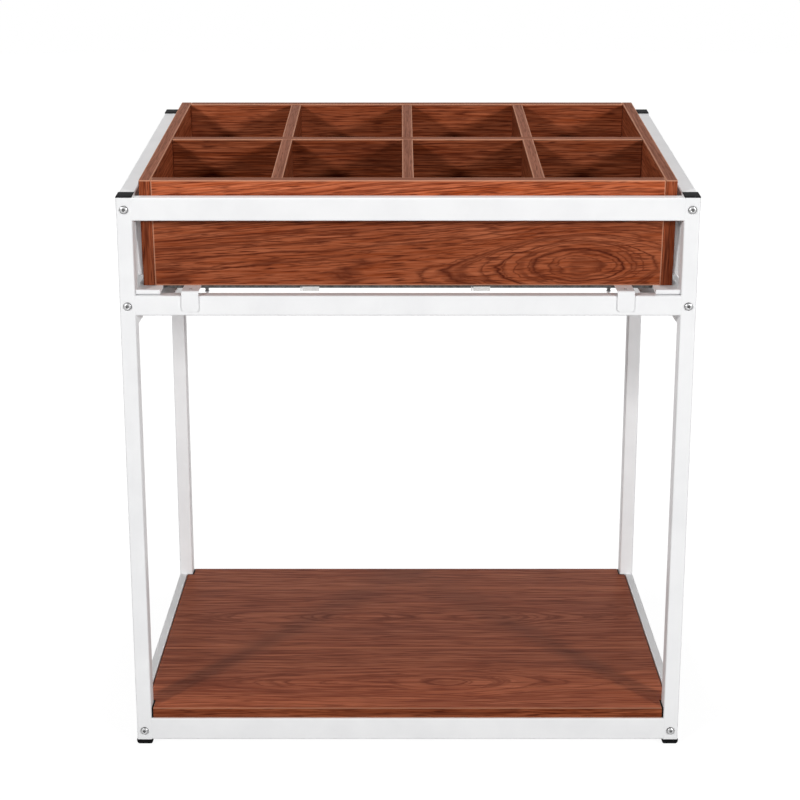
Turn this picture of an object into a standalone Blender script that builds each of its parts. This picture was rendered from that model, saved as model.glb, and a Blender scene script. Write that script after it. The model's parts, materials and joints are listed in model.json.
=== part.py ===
"""Display rack: a bolted steel tube stand with a lower shelf and a sloping, lift-out compartment tray.

Run with: blender --background --python part.py
Metres, +Z up, the front faces -Y, and the origin is on the floor under the middle of the stand.
"""

import math

import bmesh
import bpy
from mathutils import Euler, Matrix, Vector

# Stand, overall
STAND_WIDTH = 0.900
STAND_DEPTH = 0.640
FRONT_LEG_TOP = 0.919
TOP_SLOPE = math.radians(5.5)

# Steel tube
TUBE_WALL = 0.0015
TUBE_CORNER = 0.0020
SHEET_EDGE = 0.0004
LEG_WIDTH = 0.025
LEG_DEPTH = 0.030
RAIL_DEPTH = 0.025
TOP_RAIL_HEIGHT = 0.036
MID_RAIL_HEIGHT = 0.032
BOTTOM_RAIL_HEIGHT = 0.038
SIDE_RAIL_WIDTH = 0.025
SIDE_TOP_HEIGHT = 0.036
SIDE_MID_HEIGHT = 0.044
SIDE_MID_DROP = 0.008
SIDE_END_PLATE = 0.003
CORNER_PLATE_WIDTH = 0.052
CORNER_PLATE_DEPTH = 0.090
CORNER_PLATE_THICKNESS = 0.003
CORNER_PLATE_DROP = 0.003

# Leg caps and feet
CAP_THICKNESS = 0.0015
CAP_PLUG = 0.010
FOOT_HEIGHT = 0.009
FOOT_PLUG = 0.012
FOOT_TAPER = 0.0032
PLUG_CLEARANCE = 0.0003

# Frame bolts
BOLT_DIAMETER = 0.006
BOLT_HEAD_DIAMETER = 0.013
BOLT_HEAD_HEIGHT = 0.0034
BOLT_SOCKET_DIAMETER = 0.005
BOLT_SOCKET_DEPTH = 0.0020
BOLT_GRIP_PAST_LEG = 0.012
BOLT_HOLE_CLEARANCE = 0.0004
TOP_BOLT_DROP = 0.0215
MID_BOLT_DROP = 0.009
BOTTOM_BOLT_HEIGHT = 0.025

# Compartment tray
TRAY_SIDE_CLEARANCE = 0.008
TRAY_HEIGHT = 0.170
TRAY_PROUD = 0.0235
TRAY_BOARD = 0.018
TRAY_BOTTOM_BOARD = 0.009
TRAY_TO_RAIL = 0.0012
BOARD_EDGE = 0.0006
DIVIDER_BOARD = 0.018
DIVIDER_BELOW_RIM = 0.0006
CELLS_ACROSS = 4
GRID_CLEARANCE = 0.0005

# Tray supports
RUNNER_WIDTH = 0.038
RUNNER_THICKNESS = 0.004
RUNNER_LIP_HEIGHT = 0.0085
RUNNER_LIP_THICKNESS = 0.003
RUNNER_END_INSET = 0.004
GUARD_THICKNESS = 0.002
GUARD_ABOVE_TRAY = 0.016
LEDGE_DEPTH = 0.025
LEDGE_THICKNESS = 0.005
LEDGE_SETBACK = 0.003
HOOK_FROM_RUNNER = 0.047
HOOK_WIDTH = 0.027
HOOK_STRAP = 0.0025
HOOK_FLANGE = 0.033
HOOK_CORNER = 0.005
HOOK_LIFT = 0.0052
HOOK_BOSS_WIDTH = 0.010
HOOK_BOSS_DEPTH = 0.009
HOOK_SCREW_DIAMETER = 0.005
HOOK_SCREW_HEIGHT = 0.0010
STUD_FROM_HOOK = 0.022
STUD_DIAMETER = 0.007
STUD_LENGTH = 0.0085
STUD_DOME = 0.0025
CLIP_LENGTH = 0.030
CLIP_HEIGHT = 0.007
CLIP_THICKNESS = 0.002
CLIP_BELOW_LEDGE = 0.0042
CLIP_PLACES = {"left": -0.155, "right": 0.115}

# Lower shelf
SHELF_SIDE_INSET = 0.016
SHELF_BOARD = 0.018
SHELF_FRONT_INSET = 0.002
SHELF_NOTCH_CLEARANCE = 0.0028

# Gap kept between pieces that touch
SEAT = 0.0003
CUT_MARGIN = 0.004
ROUND_STEPS = 20
DOME_STEPS = 3

SIDES = {"left": -1, "right": 1}
ENDS = {"front": -1, "rear": 1}

# Places worked out from the sizes above
HALF_WIDTH = STAND_WIDTH / 2
HALF_DEPTH = STAND_DEPTH / 2
LEG_INNER_X = HALF_WIDTH - LEG_WIDTH
LEG_INNER_Y = HALF_DEPTH - LEG_DEPTH
RAIL_LENGTH = 2 * (LEG_INNER_X - SEAT)
RAIL_Y = HALF_DEPTH - RAIL_DEPTH / 2
SIDE_LENGTH = 2 * (LEG_INNER_Y - SEAT)
SIDE_X = HALF_WIDTH - SIDE_RAIL_WIDTH / 2
BOTTOM_RAIL_TOP = FOOT_HEIGHT + BOTTOM_RAIL_HEIGHT
TRAY_WIDTH = 2 * (LEG_INNER_X - TRAY_SIDE_CLEARANCE)


def slope_height(y):
    """Height of the legs' and side rails' sloping top at depth y."""
    return FRONT_LEG_TOP + math.tan(TOP_SLOPE) * (y + HALF_DEPTH)


# The tray's own axes: along the slope and square to it
ALONG_SLOPE = Vector((0, math.cos(TOP_SLOPE), math.sin(TOP_SLOPE)))
OFF_SLOPE = Vector((0, -math.sin(TOP_SLOPE), math.cos(TOP_SLOPE)))
REAR_RAIL_TOP = slope_height(HALF_DEPTH - RAIL_DEPTH)
FRONT_RAIL_EDGE = Vector((0, -HALF_DEPTH + RAIL_DEPTH, FRONT_LEG_TOP))
REAR_RAIL_EDGE = Vector((0, HALF_DEPTH - RAIL_DEPTH, REAR_RAIL_TOP - TOP_RAIL_HEIGHT))
TRAY_ORIGIN = FRONT_RAIL_EDGE + TRAY_TO_RAIL * ALONG_SLOPE - (TRAY_HEIGHT - TRAY_PROUD) * OFF_SLOPE
TRAY_DEPTH = (REAR_RAIL_EDGE - TRAY_ORIGIN).dot(ALONG_SLOPE) - TRAY_TO_RAIL


def support_height(y, below):
    """Height, at depth y, of a plane that lies this far below the tray's underside."""
    return TRAY_ORIGIN.z + math.tan(TOP_SLOPE) * (y - TRAY_ORIGIN.y) - below / math.cos(TOP_SLOPE)


RUNNER_UNDERSIDE = SEAT + RUNNER_THICKNESS
RUNNER_END_Y = HALF_DEPTH - RUNNER_END_INSET
FRONT_MID_TOP = support_height(-RUNNER_END_Y, RUNNER_UNDERSIDE) - SEAT
REAR_MID_TOP = support_height(HALF_DEPTH - RAIL_DEPTH, RUNNER_UNDERSIDE) - SEAT
SIDE_MID_TOP = FRONT_MID_TOP - SIDE_MID_DROP
RUNNER_INNER_X = LEG_INNER_X - SEAT - RUNNER_WIDTH
MID_BOLT_HEIGHT = SIDE_MID_TOP - MID_BOLT_DROP
HOOK_X = RUNNER_INNER_X - HOOK_FROM_RUNNER


def clear_scene():
    for obj in list(bpy.data.objects):
        bpy.data.objects.remove(obj, do_unlink=True)


def new_collection(name):
    collection = bpy.data.collections.new(name)
    bpy.context.scene.collection.children.link(collection)
    return collection


def new_material(name, colour, roughness, metallic):
    material = bpy.data.materials.new(name)
    material.use_nodes = True
    shader = material.node_tree.nodes["Principled BSDF"]
    shader.inputs["Base Color"].default_value = (*colour, 1.0)
    shader.inputs["Roughness"].default_value = roughness
    shader.inputs["Metallic"].default_value = metallic
    return material


clear_scene()
RACK = new_collection("display_rack")
CUTTERS = new_collection("display_rack_cutters")
WHITE_COAT = new_material("white_powder_coat", (0.86, 0.86, 0.87), 0.45, 0.0)
WALNUT = new_material("walnut_laminate", (0.20, 0.075, 0.035), 0.42, 0.0)
BLACK_PLASTIC = new_material("black_plastic", (0.012, 0.012, 0.013), 0.50, 0.0)
BRIGHT_STEEL = new_material("bright_steel", (0.62, 0.62, 0.63), 0.30, 1.0)


def add_object(name, data, material, location, parent=None, rotation=(0, 0, 0)):
    """Put mesh or curve data into the rack's collection as one named piece."""
    obj = bpy.data.objects.new(name, data)
    data.materials.append(material)
    obj.location = location
    obj.rotation_euler = rotation
    obj.parent = parent
    RACK.objects.link(obj)
    return obj


def cube_mesh(size):
    """A bmesh box of the given size about its own origin."""
    shape = bmesh.new()
    bmesh.ops.create_cube(shape, size=1.0)
    bmesh.ops.scale(shape, vec=size, verts=shape.verts)
    return shape


def slope_points(shape):
    """Shear a bmesh so that what was level follows the top slope, with its ends still upright."""
    for vert in shape.verts:
        vert.co.z += math.tan(TOP_SLOPE) * vert.co.y


def finish_mesh(name, shape):
    mesh = bpy.data.meshes.new(name)
    shape.to_mesh(mesh)
    shape.free()
    return mesh


def round_edges(obj, width, segments=2):
    bevel = obj.modifiers.new("edges", "BEVEL")
    bevel.width = width
    bevel.segments = segments
    bevel.limit_method = "ANGLE"
    return bevel


def add_cutter(name, mesh, location):
    cutter = bpy.data.objects.new(name, mesh)
    cutter.location = location
    cutter.hide_render = True
    cutter.display_type = "WIRE"
    CUTTERS.objects.link(cutter)
    return cutter


def combine(obj, other, operation):
    boolean = obj.modifiers.new(operation.lower() + "_" + other.name, "BOOLEAN")
    boolean.operation = operation
    boolean.object = other
    boolean.solver = "EXACT"


def open_tube(name, size, axis, location, slope_top=False):
    """Rectangular tube, open at both ends along one axis (0, 1 or 2), with rounded outer corners."""
    shape = cube_mesh(size)
    end_faces = [face for face in shape.faces if abs(face.normal[axis]) > 0.9]
    bmesh.ops.delete(shape, geom=end_faces, context="FACES_ONLY")
    if slope_top:
        for vert in shape.verts:
            if vert.co.z > 0:
                vert.co.z += math.tan(TOP_SLOPE) * vert.co.y
    obj = add_object(name, finish_mesh(name, shape), WHITE_COAT, location)
    round_edges(obj, TUBE_CORNER)
    wall = obj.modifiers.new("wall", "SOLIDIFY")
    wall.thickness = TUBE_WALL
    wall.offset = -1.0
    wall.use_even_offset = True
    return obj


def closed_tube(name, size, location, sloping=False):
    """Rectangular tube along Y with a plate welded in each end."""
    shape = cube_mesh(size)
    hollow = cube_mesh((size[0] - 2 * TUBE_WALL, size[1] - 2 * SIDE_END_PLATE, size[2] - 2 * TUBE_WALL))
    if sloping:
        slope_points(shape)
        slope_points(hollow)
    long_edges = [edge for edge in shape.edges if abs((edge.verts[0].co - edge.verts[1].co).y) > size[1] / 2]
    bmesh.ops.bevel(shape, geom=long_edges, offset=TUBE_CORNER, segments=2, profile=0.5, affect="EDGES")
    obj = add_object(name, finish_mesh(name, shape), WHITE_COAT, location)
    combine(obj, add_cutter(name + "_hollow", finish_mesh(name + "_hollow", hollow), location), "DIFFERENCE")
    return obj


def turned(name, profile, material, location, rotation=(0, 0, 0), parent=None):
    """Turned piece: a profile of (radius, height) points, top to bottom, spun about its own Z."""
    mesh = bpy.data.meshes.new(name)
    points = [(radius, 0, height) for radius, height in profile]
    mesh.from_pydata(points, [(i, i + 1) for i in range(len(points) - 1)], [])
    obj = add_object(name, mesh, material, location, parent, rotation)
    spin = obj.modifiers.new("spin", "SCREW")
    spin.steps = ROUND_STEPS
    spin.render_steps = ROUND_STEPS
    spin.use_merge_vertices = True
    spin.merge_threshold = 0.00001
    return obj


def dome(inner, outer, low, high):
    """Quarter-ellipse profile from its crown (inner radius, high) out and down to (outer radius, low)."""
    turns = [math.pi / 2 * step / DOME_STEPS for step in range(DOME_STEPS + 1)]
    return [(inner + (outer - inner) * math.sin(turn), low + (high - low) * math.cos(turn)) for turn in turns]


def outline_curve(name, points, thickness, edge=0.0):
    """Flat closed outline in its own XY plane, given its thickness along its own Z."""
    curve = bpy.data.curves.new(name, "CURVE")
    curve.dimensions = "2D"
    curve.fill_mode = "BOTH"
    curve.extrude = thickness / 2 - edge
    curve.bevel_depth = edge
    curve.bevel_resolution = 0
    curve.offset = -edge
    spline = curve.splines.new("POLY")
    spline.points.add(len(points) - 1)
    for point, (x, y) in zip(spline.points, points):
        point.co = (x, y, 0, 1)
    spline.use_cyclic_u = True
    return curve


def outline_mesh(name, points, thickness):
    """The same flat outline as a closed mesh, for a piece that is cut, joined or rounded afterwards."""
    curve = outline_curve(name + "_outline", points, thickness)
    holder = bpy.data.objects.new(name + "_outline", curve)
    bpy.context.scene.collection.objects.link(holder)
    bpy.context.view_layer.update()
    evaluated = holder.evaluated_get(bpy.context.evaluated_depsgraph_get())
    mesh = bpy.data.meshes.new_from_object(evaluated)
    bpy.data.objects.remove(holder, do_unlink=True)
    bpy.data.curves.remove(curve)
    shape = bmesh.new()
    shape.from_mesh(mesh)
    bpy.data.meshes.remove(mesh)
    bmesh.ops.remove_doubles(shape, verts=shape.verts, dist=0.00001)
    return shape


# An outline's X, Y and thickness turned to the rack's Y, Z and X, and to its X, Z and Y
SIDE_ON = Euler((math.pi / 2, 0, math.pi / 2))
FACE_ON = Euler((math.pi / 2, 0, 0))


def bolt_heights(end):
    """Heights of the three bolts through each leg at this end."""
    leg_face_y = ENDS[end] * LEG_INNER_Y
    return {
        "top": slope_height(leg_face_y) - TOP_BOLT_DROP,
        "mid": MID_BOLT_HEIGHT,
        "bottom": BOTTOM_BOLT_HEIGHT,
    }


def drill(obj, side, ends, levels):
    """Cut the holes for a piece's bolts, all with one cutter."""
    radius = BOLT_DIAMETER / 2 + BOLT_HOLE_CLEARANCE
    reach = LEG_DEPTH + BOLT_GRIP_PAST_LEG
    shape = bmesh.new()
    for end in ends:
        for level in levels:
            middle = (SIDES[side] * SIDE_X, ENDS[end] * (HALF_DEPTH - reach / 2), bolt_heights(end)[level])
            bmesh.ops.create_cone(
                shape,
                cap_ends=True,
                segments=ROUND_STEPS,
                radius1=radius,
                radius2=radius,
                depth=reach + 2 * CUT_MARGIN,
                matrix=Matrix.Translation(middle) @ Matrix.Rotation(math.pi / 2, 4, "X"),
            )
    name = obj.name + "_holes"
    combine(obj, add_cutter(name, finish_mesh(name, shape), (0, 0, 0)), "DIFFERENCE")


def make_legs():
    for side, x_sign in SIDES.items():
        for end, y_sign in ENDS.items():
            y = y_sign * (HALF_DEPTH - LEG_DEPTH / 2)
            top = slope_height(y)
            size = (LEG_WIDTH, LEG_DEPTH, top - FOOT_HEIGHT)
            place = (x_sign * (HALF_WIDTH - LEG_WIDTH / 2), y, (top + FOOT_HEIGHT) / 2)
            leg = open_tube(f"leg_{end}_{side}", size, 2, place, slope_top=True)
            drill(leg, side, [end], ["top", "mid", "bottom"])


def plug(name, size, plug_length, place, upwards, taper=0.0, sloping=False):
    """Moulded end piece for a leg: a plate as large as the tube, with a smaller plug that enters it."""
    shape = cube_mesh(size)
    direction = 1 if upwards else -1
    face = next(face for face in shape.faces if face.normal.z * direction > 0.9)
    inset = TUBE_WALL + PLUG_CLEARANCE
    bmesh.ops.inset_region(shape, faces=[face], thickness=inset, use_even_offset=True)
    pushed = bmesh.ops.extrude_discrete_faces(shape, faces=[face])["faces"][0]
    bmesh.ops.translate(shape, vec=(0, 0, direction * plug_length), verts=pushed.verts)
    for vert in shape.verts:
        if taper and vert.co.z < 0:
            vert.co.x -= math.copysign(taper, vert.co.x)
            vert.co.y -= math.copysign(taper, vert.co.y)
    if sloping:
        slope_points(shape)
    return add_object(name, finish_mesh(name, shape), BLACK_PLASTIC, place)


def make_caps_and_feet():
    for side, x_sign in SIDES.items():
        for end, y_sign in ENDS.items():
            x = x_sign * (HALF_WIDTH - LEG_WIDTH / 2)
            y = y_sign * (HALF_DEPTH - LEG_DEPTH / 2)
            cap_size = (LEG_WIDTH, LEG_DEPTH, CAP_THICKNESS)
            cap_z = slope_height(y) + SEAT + CAP_THICKNESS / 2
            plug(f"cap_{end}_{side}", cap_size, CAP_PLUG, (x, y, cap_z), upwards=False, sloping=True)
            foot_size = (LEG_WIDTH, LEG_DEPTH, FOOT_HEIGHT - SEAT)
            foot_z = (FOOT_HEIGHT - SEAT) / 2
            plug(f"foot_{end}_{side}", foot_size, FOOT_PLUG, (x, y, foot_z), upwards=True, taper=FOOT_TAPER)


def make_cross_rails():
    tops = {
        "top": {"front": FRONT_LEG_TOP, "rear": REAR_RAIL_TOP},
        "mid": {"front": FRONT_MID_TOP, "rear": REAR_MID_TOP},
        "bottom": {"front": BOTTOM_RAIL_TOP, "rear": BOTTOM_RAIL_TOP},
    }
    heights = {"top": TOP_RAIL_HEIGHT, "mid": MID_RAIL_HEIGHT, "bottom": BOTTOM_RAIL_HEIGHT}
    for level, height in heights.items():
        for end, y_sign in ENDS.items():
            place = (0, y_sign * RAIL_Y, tops[level][end] - height / 2)
            open_tube(f"{level}_rail_{end}", (RAIL_LENGTH, RAIL_DEPTH, height), 0, place)


def make_side_rails():
    for side, x_sign in SIDES.items():
        x = x_sign * SIDE_X
        top_place = (x, 0, slope_height(0) - SIDE_TOP_HEIGHT / 2)
        top_size = (SIDE_RAIL_WIDTH, SIDE_LENGTH, SIDE_TOP_HEIGHT)
        mid_place = (x, 0, SIDE_MID_TOP - SIDE_MID_HEIGHT / 2)
        mid_size = (SIDE_RAIL_WIDTH, SIDE_LENGTH, SIDE_MID_HEIGHT)
        bottom_place = (x, 0, BOTTOM_RAIL_TOP - BOTTOM_RAIL_HEIGHT / 2)
        bottom_size = (SIDE_RAIL_WIDTH, SIDE_LENGTH, BOTTOM_RAIL_HEIGHT)
        rails = {
            "top": closed_tube(f"top_rail_{side}", top_size, top_place, sloping=True),
            "mid": closed_tube(f"mid_rail_{side}", mid_size, mid_place),
            "bottom": closed_tube(f"bottom_rail_{side}", bottom_size, bottom_place),
        }
        add_corner_plate(rails["mid"], x_sign)
        for level, rail in rails.items():
            drill(rail, side, ENDS, [level])


def add_corner_plate(rail, x_sign):
    """Weld a flat stiffening plate to the inside of a mid side rail, in the front corner."""
    name = rail.name + "_plate"
    into_wall = TUBE_WALL / 2
    size = (CORNER_PLATE_WIDTH + into_wall, CORNER_PLATE_DEPTH, CORNER_PLATE_THICKNESS)
    x = x_sign * (LEG_INNER_X + into_wall - size[0] / 2)
    y = -SIDE_LENGTH / 2 + size[1] / 2
    z = SIDE_MID_TOP - CORNER_PLATE_DROP - size[2] / 2
    combine(rail, add_cutter(name, finish_mesh(name, cube_mesh(size)), (x, y, z)), "UNION")


def make_bolts():
    """Button-head bolts through the legs into the end plates of the side rails."""
    head = BOLT_HEAD_DIAMETER / 2
    socket = BOLT_SOCKET_DIAMETER / 2
    shank = BOLT_DIAMETER / 2
    shank_end = -LEG_DEPTH - BOLT_GRIP_PAST_LEG
    socket_floor = BOLT_HEAD_HEIGHT - BOLT_SOCKET_DEPTH
    crown = dome(socket, head, SEAT, BOLT_HEAD_HEIGHT)
    profile = [(0, socket_floor), (socket, socket_floor), *crown]
    profile += [(shank, SEAT), (shank, shank_end), (0, shank_end)]
    for side, x_sign in SIDES.items():
        for end, y_sign in ENDS.items():
            outward = (-y_sign * math.pi / 2, 0, 0)
            for level, height in bolt_heights(end).items():
                place = (x_sign * SIDE_X, y_sign * HALF_DEPTH, height)
                turned(f"bolt_{level}_{end}_{side}", profile, BRIGHT_STEEL, place, outward)


def make_shelf():
    """Lower shelf board, notched round the four legs and resting on the bottom rails."""
    half_x = HALF_WIDTH - SHELF_SIDE_INSET
    half_y = HALF_DEPTH - SHELF_FRONT_INSET
    notch_x = LEG_INNER_X - SHELF_NOTCH_CLEARANCE
    notch_y = LEG_INNER_Y - SHELF_NOTCH_CLEARANCE
    corner = [(half_x, notch_y), (notch_x, notch_y), (notch_x, half_y)]
    points = []
    for x_sign, y_sign in ((1, 1), (-1, 1), (-1, -1), (1, -1)):
        turned_corner = [(x_sign * x, y_sign * y) for x, y in corner]
        points += turned_corner if x_sign * y_sign > 0 else turned_corner[::-1]
    curve = outline_curve("shelf", points, SHELF_BOARD, BOARD_EDGE)
    add_object("shelf", curve, WALNUT, (0, 0, BOTTOM_RAIL_TOP + SEAT + SHELF_BOARD / 2))


def make_slope_frame():
    """Empty at the tray's lower front edge, turned so that its Y runs up the slope."""
    empty = bpy.data.objects.new("slope_frame", None)
    empty.location = TRAY_ORIGIN
    empty.rotation_euler = (TOP_SLOPE, 0, 0)
    RACK.objects.link(empty)
    return empty


def board(name, low, high, parent, material=WALNUT, edge=BOARD_EDGE):
    """Rectangular board between two corners, given in its parent's axes."""
    low = Vector(low)
    high = Vector(high)
    mesh = finish_mesh(name, cube_mesh(high - low))
    obj = add_object(name, mesh, material, (low + high) / 2, parent)
    round_edges(obj, edge, segments=1)
    return obj


def make_tray(frame):
    half = TRAY_WIDTH / 2
    inner = half - TRAY_BOARD - SEAT
    for side, x_sign in SIDES.items():
        edges = sorted((x_sign * half, x_sign * (half - TRAY_BOARD)))
        board(f"tray_{side}", (edges[0], 0, 0), (edges[1], TRAY_DEPTH, TRAY_HEIGHT), frame)
    board("tray_front", (-inner, 0, 0), (inner, TRAY_BOARD, TRAY_HEIGHT), frame)
    board("tray_back", (-inner, TRAY_DEPTH - TRAY_BOARD, 0), (inner, TRAY_DEPTH, TRAY_HEIGHT), frame)
    bottom_inset = TRAY_BOARD + SEAT
    bottom_low = (-inner, bottom_inset, 0)
    bottom_high = (inner, TRAY_DEPTH - bottom_inset, TRAY_BOTTOM_BOARD)
    board("tray_bottom", bottom_low, bottom_high, frame)


def make_divider_grid(frame):
    """One long and several short dividers, halved over each other, that lift out of the tray together."""
    low = TRAY_BOTTOM_BOARD + SEAT
    high = TRAY_HEIGHT - DIVIDER_BELOW_RIM
    middle = (low + high) / 2
    half_x = TRAY_WIDTH / 2 - TRAY_BOARD - GRID_CLEARANCE
    start_y = TRAY_BOARD + GRID_CLEARANCE
    end_y = TRAY_DEPTH - TRAY_BOARD - GRID_CLEARANCE
    slot = DIVIDER_BOARD / 2 + GRID_CLEARANCE / 2
    cell = (TRAY_WIDTH - 2 * TRAY_BOARD - (CELLS_ACROSS - 1) * DIVIDER_BOARD) / CELLS_ACROSS
    places = [(i - CELLS_ACROSS / 2) * (cell + DIVIDER_BOARD) for i in range(1, CELLS_ACROSS)]
    centre_y = TRAY_DEPTH / 2

    comb = [(-half_x, high), (-half_x, low)]
    for place in places:
        comb += [
            (place - slot, low),
            (place - slot, middle + SEAT / 2),
            (place + slot, middle + SEAT / 2),
            (place + slot, low),
        ]
    comb += [(half_x, low), (half_x, high)]
    curve = outline_curve("divider_long", comb, DIVIDER_BOARD, BOARD_EDGE)
    add_object("divider_long", curve, WALNUT, (0, centre_y, 0), frame, FACE_ON)

    halved = [
        (start_y, low),
        (end_y, low),
        (end_y, high),
        (centre_y + slot, high),
        (centre_y + slot, middle - SEAT / 2),
        (centre_y - slot, middle - SEAT / 2),
        (centre_y - slot, high),
        (start_y, high),
    ]
    for number, place in enumerate(places, start=1):
        name = f"divider_short_{number}"
        curve = outline_curve(name, halved, DIVIDER_BOARD, BOARD_EDGE)
        add_object(name, curve, WALNUT, (place, 0, 0), frame, SIDE_ON)


def make_runners(frame):
    """Flat bars that carry the tray's sides over the mid rails, each with an upturned front lip."""
    to_slope = 1 / math.cos(TOP_SLOPE)
    start = (-RUNNER_END_Y - TRAY_ORIGIN.y) * to_slope
    end = (RUNNER_END_Y - TRAY_ORIGIN.y) * to_slope
    profile = [
        (start, -RUNNER_UNDERSIDE),
        (end, -RUNNER_UNDERSIDE),
        (end, -SEAT),
        (start + RUNNER_LIP_THICKNESS, -SEAT),
        (start + RUNNER_LIP_THICKNESS, RUNNER_LIP_HEIGHT - RUNNER_UNDERSIDE),
        (start, RUNNER_LIP_HEIGHT - RUNNER_UNDERSIDE),
    ]
    for side, x_sign in SIDES.items():
        name = f"runner_{side}"
        curve = outline_curve(name, profile, RUNNER_WIDTH)
        middle_x = x_sign * (RUNNER_INNER_X + RUNNER_WIDTH / 2)
        add_object(name, curve, WHITE_COAT, (middle_x, 0, 0), frame, SIDE_ON)


def make_side_guards():
    """Thin steel plates that hang under the top side rails, flush with the legs' inner faces."""
    end = LEG_INNER_Y - SEAT
    lower = [(y, support_height(y, -GUARD_ABOVE_TRAY)) for y in (-end, end)]
    upper = [(y, slope_height(y) - SIDE_TOP_HEIGHT - SEAT) for y in (end, -end)]
    for side, x_sign in SIDES.items():
        name = f"side_guard_{side}"
        curve = outline_curve(name, lower + upper, GUARD_THICKNESS, SHEET_EDGE)
        middle_x = x_sign * (LEG_INNER_X + GUARD_THICKNESS / 2)
        add_object(name, curve, WHITE_COAT, (middle_x, 0, 0), rotation=SIDE_ON)


def make_ledge(frame):
    """Flat bar under the tray's front panel, with its studs and clips."""
    half_x = RUNNER_INNER_X - SEAT
    low = (-half_x, LEDGE_SETBACK, -SEAT - LEDGE_THICKNESS)
    high = (half_x, LEDGE_SETBACK + LEDGE_DEPTH, -SEAT)
    board("ledge", low, high, frame, BRIGHT_STEEL, SHEET_EDGE)
    stud = STUD_DIAMETER / 2
    stud_profile = [(0, 0), (stud, 0), *dome(0, stud, -STUD_LENGTH + STUD_DOME, -STUD_LENGTH)[::-1]]
    for side, x_sign in SIDES.items():
        place = (x_sign * (HOOK_X - STUD_FROM_HOOK), LEDGE_SETBACK + stud, low[2] - SEAT)
        turned(f"ledge_stud_{side}", stud_profile, BRIGHT_STEEL, place, parent=frame)
    for side, x in CLIP_PLACES.items():
        bottom = low[2] - CLIP_BELOW_LEDGE
        front = LEDGE_SETBACK - SEAT - CLIP_THICKNESS
        clip_low = (x - CLIP_LENGTH / 2, front, bottom)
        clip_high = (x + CLIP_LENGTH / 2, front + CLIP_THICKNESS, bottom + CLIP_HEIGHT)
        board(f"ledge_clip_{side}", clip_low, clip_high, frame, BRIGHT_STEEL, SHEET_EDGE)


def make_hooks():
    """Bent straps that hang the ledge over the front mid rail, each with a rest and a screw."""
    underside = FRONT_MID_TOP + SEAT + HOOK_LIFT
    top = underside + HOOK_STRAP
    flange_back = -HALF_DEPTH - SEAT
    flange_front = flange_back - HOOK_STRAP
    ledge_face = TRAY_ORIGIN + LEDGE_SETBACK * ALONG_SLOPE - (SEAT + LEDGE_THICKNESS) * OFF_SLOPE
    plate_end = ledge_face.y - LEDGE_THICKNESS * math.sin(TOP_SLOPE) - SEAT
    tip = top - HOOK_FLANGE
    profile = [
        (flange_front, tip),
        (flange_back, tip),
        (flange_back, underside),
        (plate_end, underside),
        (plate_end, top),
        (flange_front, top),
    ]
    screw = HOOK_SCREW_DIAMETER / 2
    screw_profile = [*dome(0, screw, SEAT, HOOK_SCREW_HEIGHT), (0, SEAT)]
    boss_y = -RAIL_Y
    for side, x_sign in SIDES.items():
        x = x_sign * HOOK_X
        name = f"hook_{side}"
        shape = outline_mesh(name, profile, HOOK_WIDTH)
        corners = [
            edge
            for edge in shape.edges
            if all(abs(vert.co.y - tip) < SEAT for vert in edge.verts)
            and abs(edge.verts[0].co.z - edge.verts[1].co.z) < SEAT
        ]
        bmesh.ops.bevel(shape, geom=corners, offset=HOOK_CORNER, segments=4, profile=0.5, affect="EDGES")
        hook = add_object(name, finish_mesh(name, shape), WHITE_COAT, (x, 0, 0), rotation=SIDE_ON)
        boss = finish_mesh(name + "_rest", cube_mesh((HOOK_BOSS_WIDTH, HOOK_BOSS_DEPTH, HOOK_LIFT + HOOK_STRAP / 2)))
        boss_z = FRONT_MID_TOP + SEAT + (HOOK_LIFT + HOOK_STRAP / 2) / 2
        combine(hook, add_cutter(name + "_rest", boss, (x, boss_y, boss_z)), "UNION")
        turned(f"hook_screw_{side}", screw_profile, BRIGHT_STEEL, (x, boss_y, top))


def main():
    make_legs()
    make_caps_and_feet()
    make_cross_rails()
    make_side_rails()
    make_bolts()
    make_shelf()
    frame = make_slope_frame()
    make_runners(frame)
    make_side_guards()
    make_ledge(frame)
    make_hooks()
    make_tray(frame)
    make_divider_grid(frame)


main()
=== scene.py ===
"""Looks of the display rack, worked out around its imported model.

Laid out as an add-on: each operator makes one group of pieces over the CAD nodes that they stand for.
Metres, +Z up, and the front faces -Y.
"""

import functools
import json
import math

import bpy
import numpy as np
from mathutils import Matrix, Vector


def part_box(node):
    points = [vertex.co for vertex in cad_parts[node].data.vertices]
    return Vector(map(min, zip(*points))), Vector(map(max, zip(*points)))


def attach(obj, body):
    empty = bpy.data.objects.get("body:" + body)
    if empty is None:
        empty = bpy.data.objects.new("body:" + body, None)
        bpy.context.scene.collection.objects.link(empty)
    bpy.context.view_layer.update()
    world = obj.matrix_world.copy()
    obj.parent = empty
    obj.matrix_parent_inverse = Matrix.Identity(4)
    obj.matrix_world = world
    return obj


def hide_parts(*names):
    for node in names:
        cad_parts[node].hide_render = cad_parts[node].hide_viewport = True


bl_info = {
    "name": "Display Rack Looks",
    "version": (1, 0, 0),
    "blender": (4, 5, 0),
    "location": "3D View > Sidebar > Display Rack",
    "description": "Boards, coated steel, fixings and stage of a display rack with a compartment tray",
    "category": "Object",
}

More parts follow.
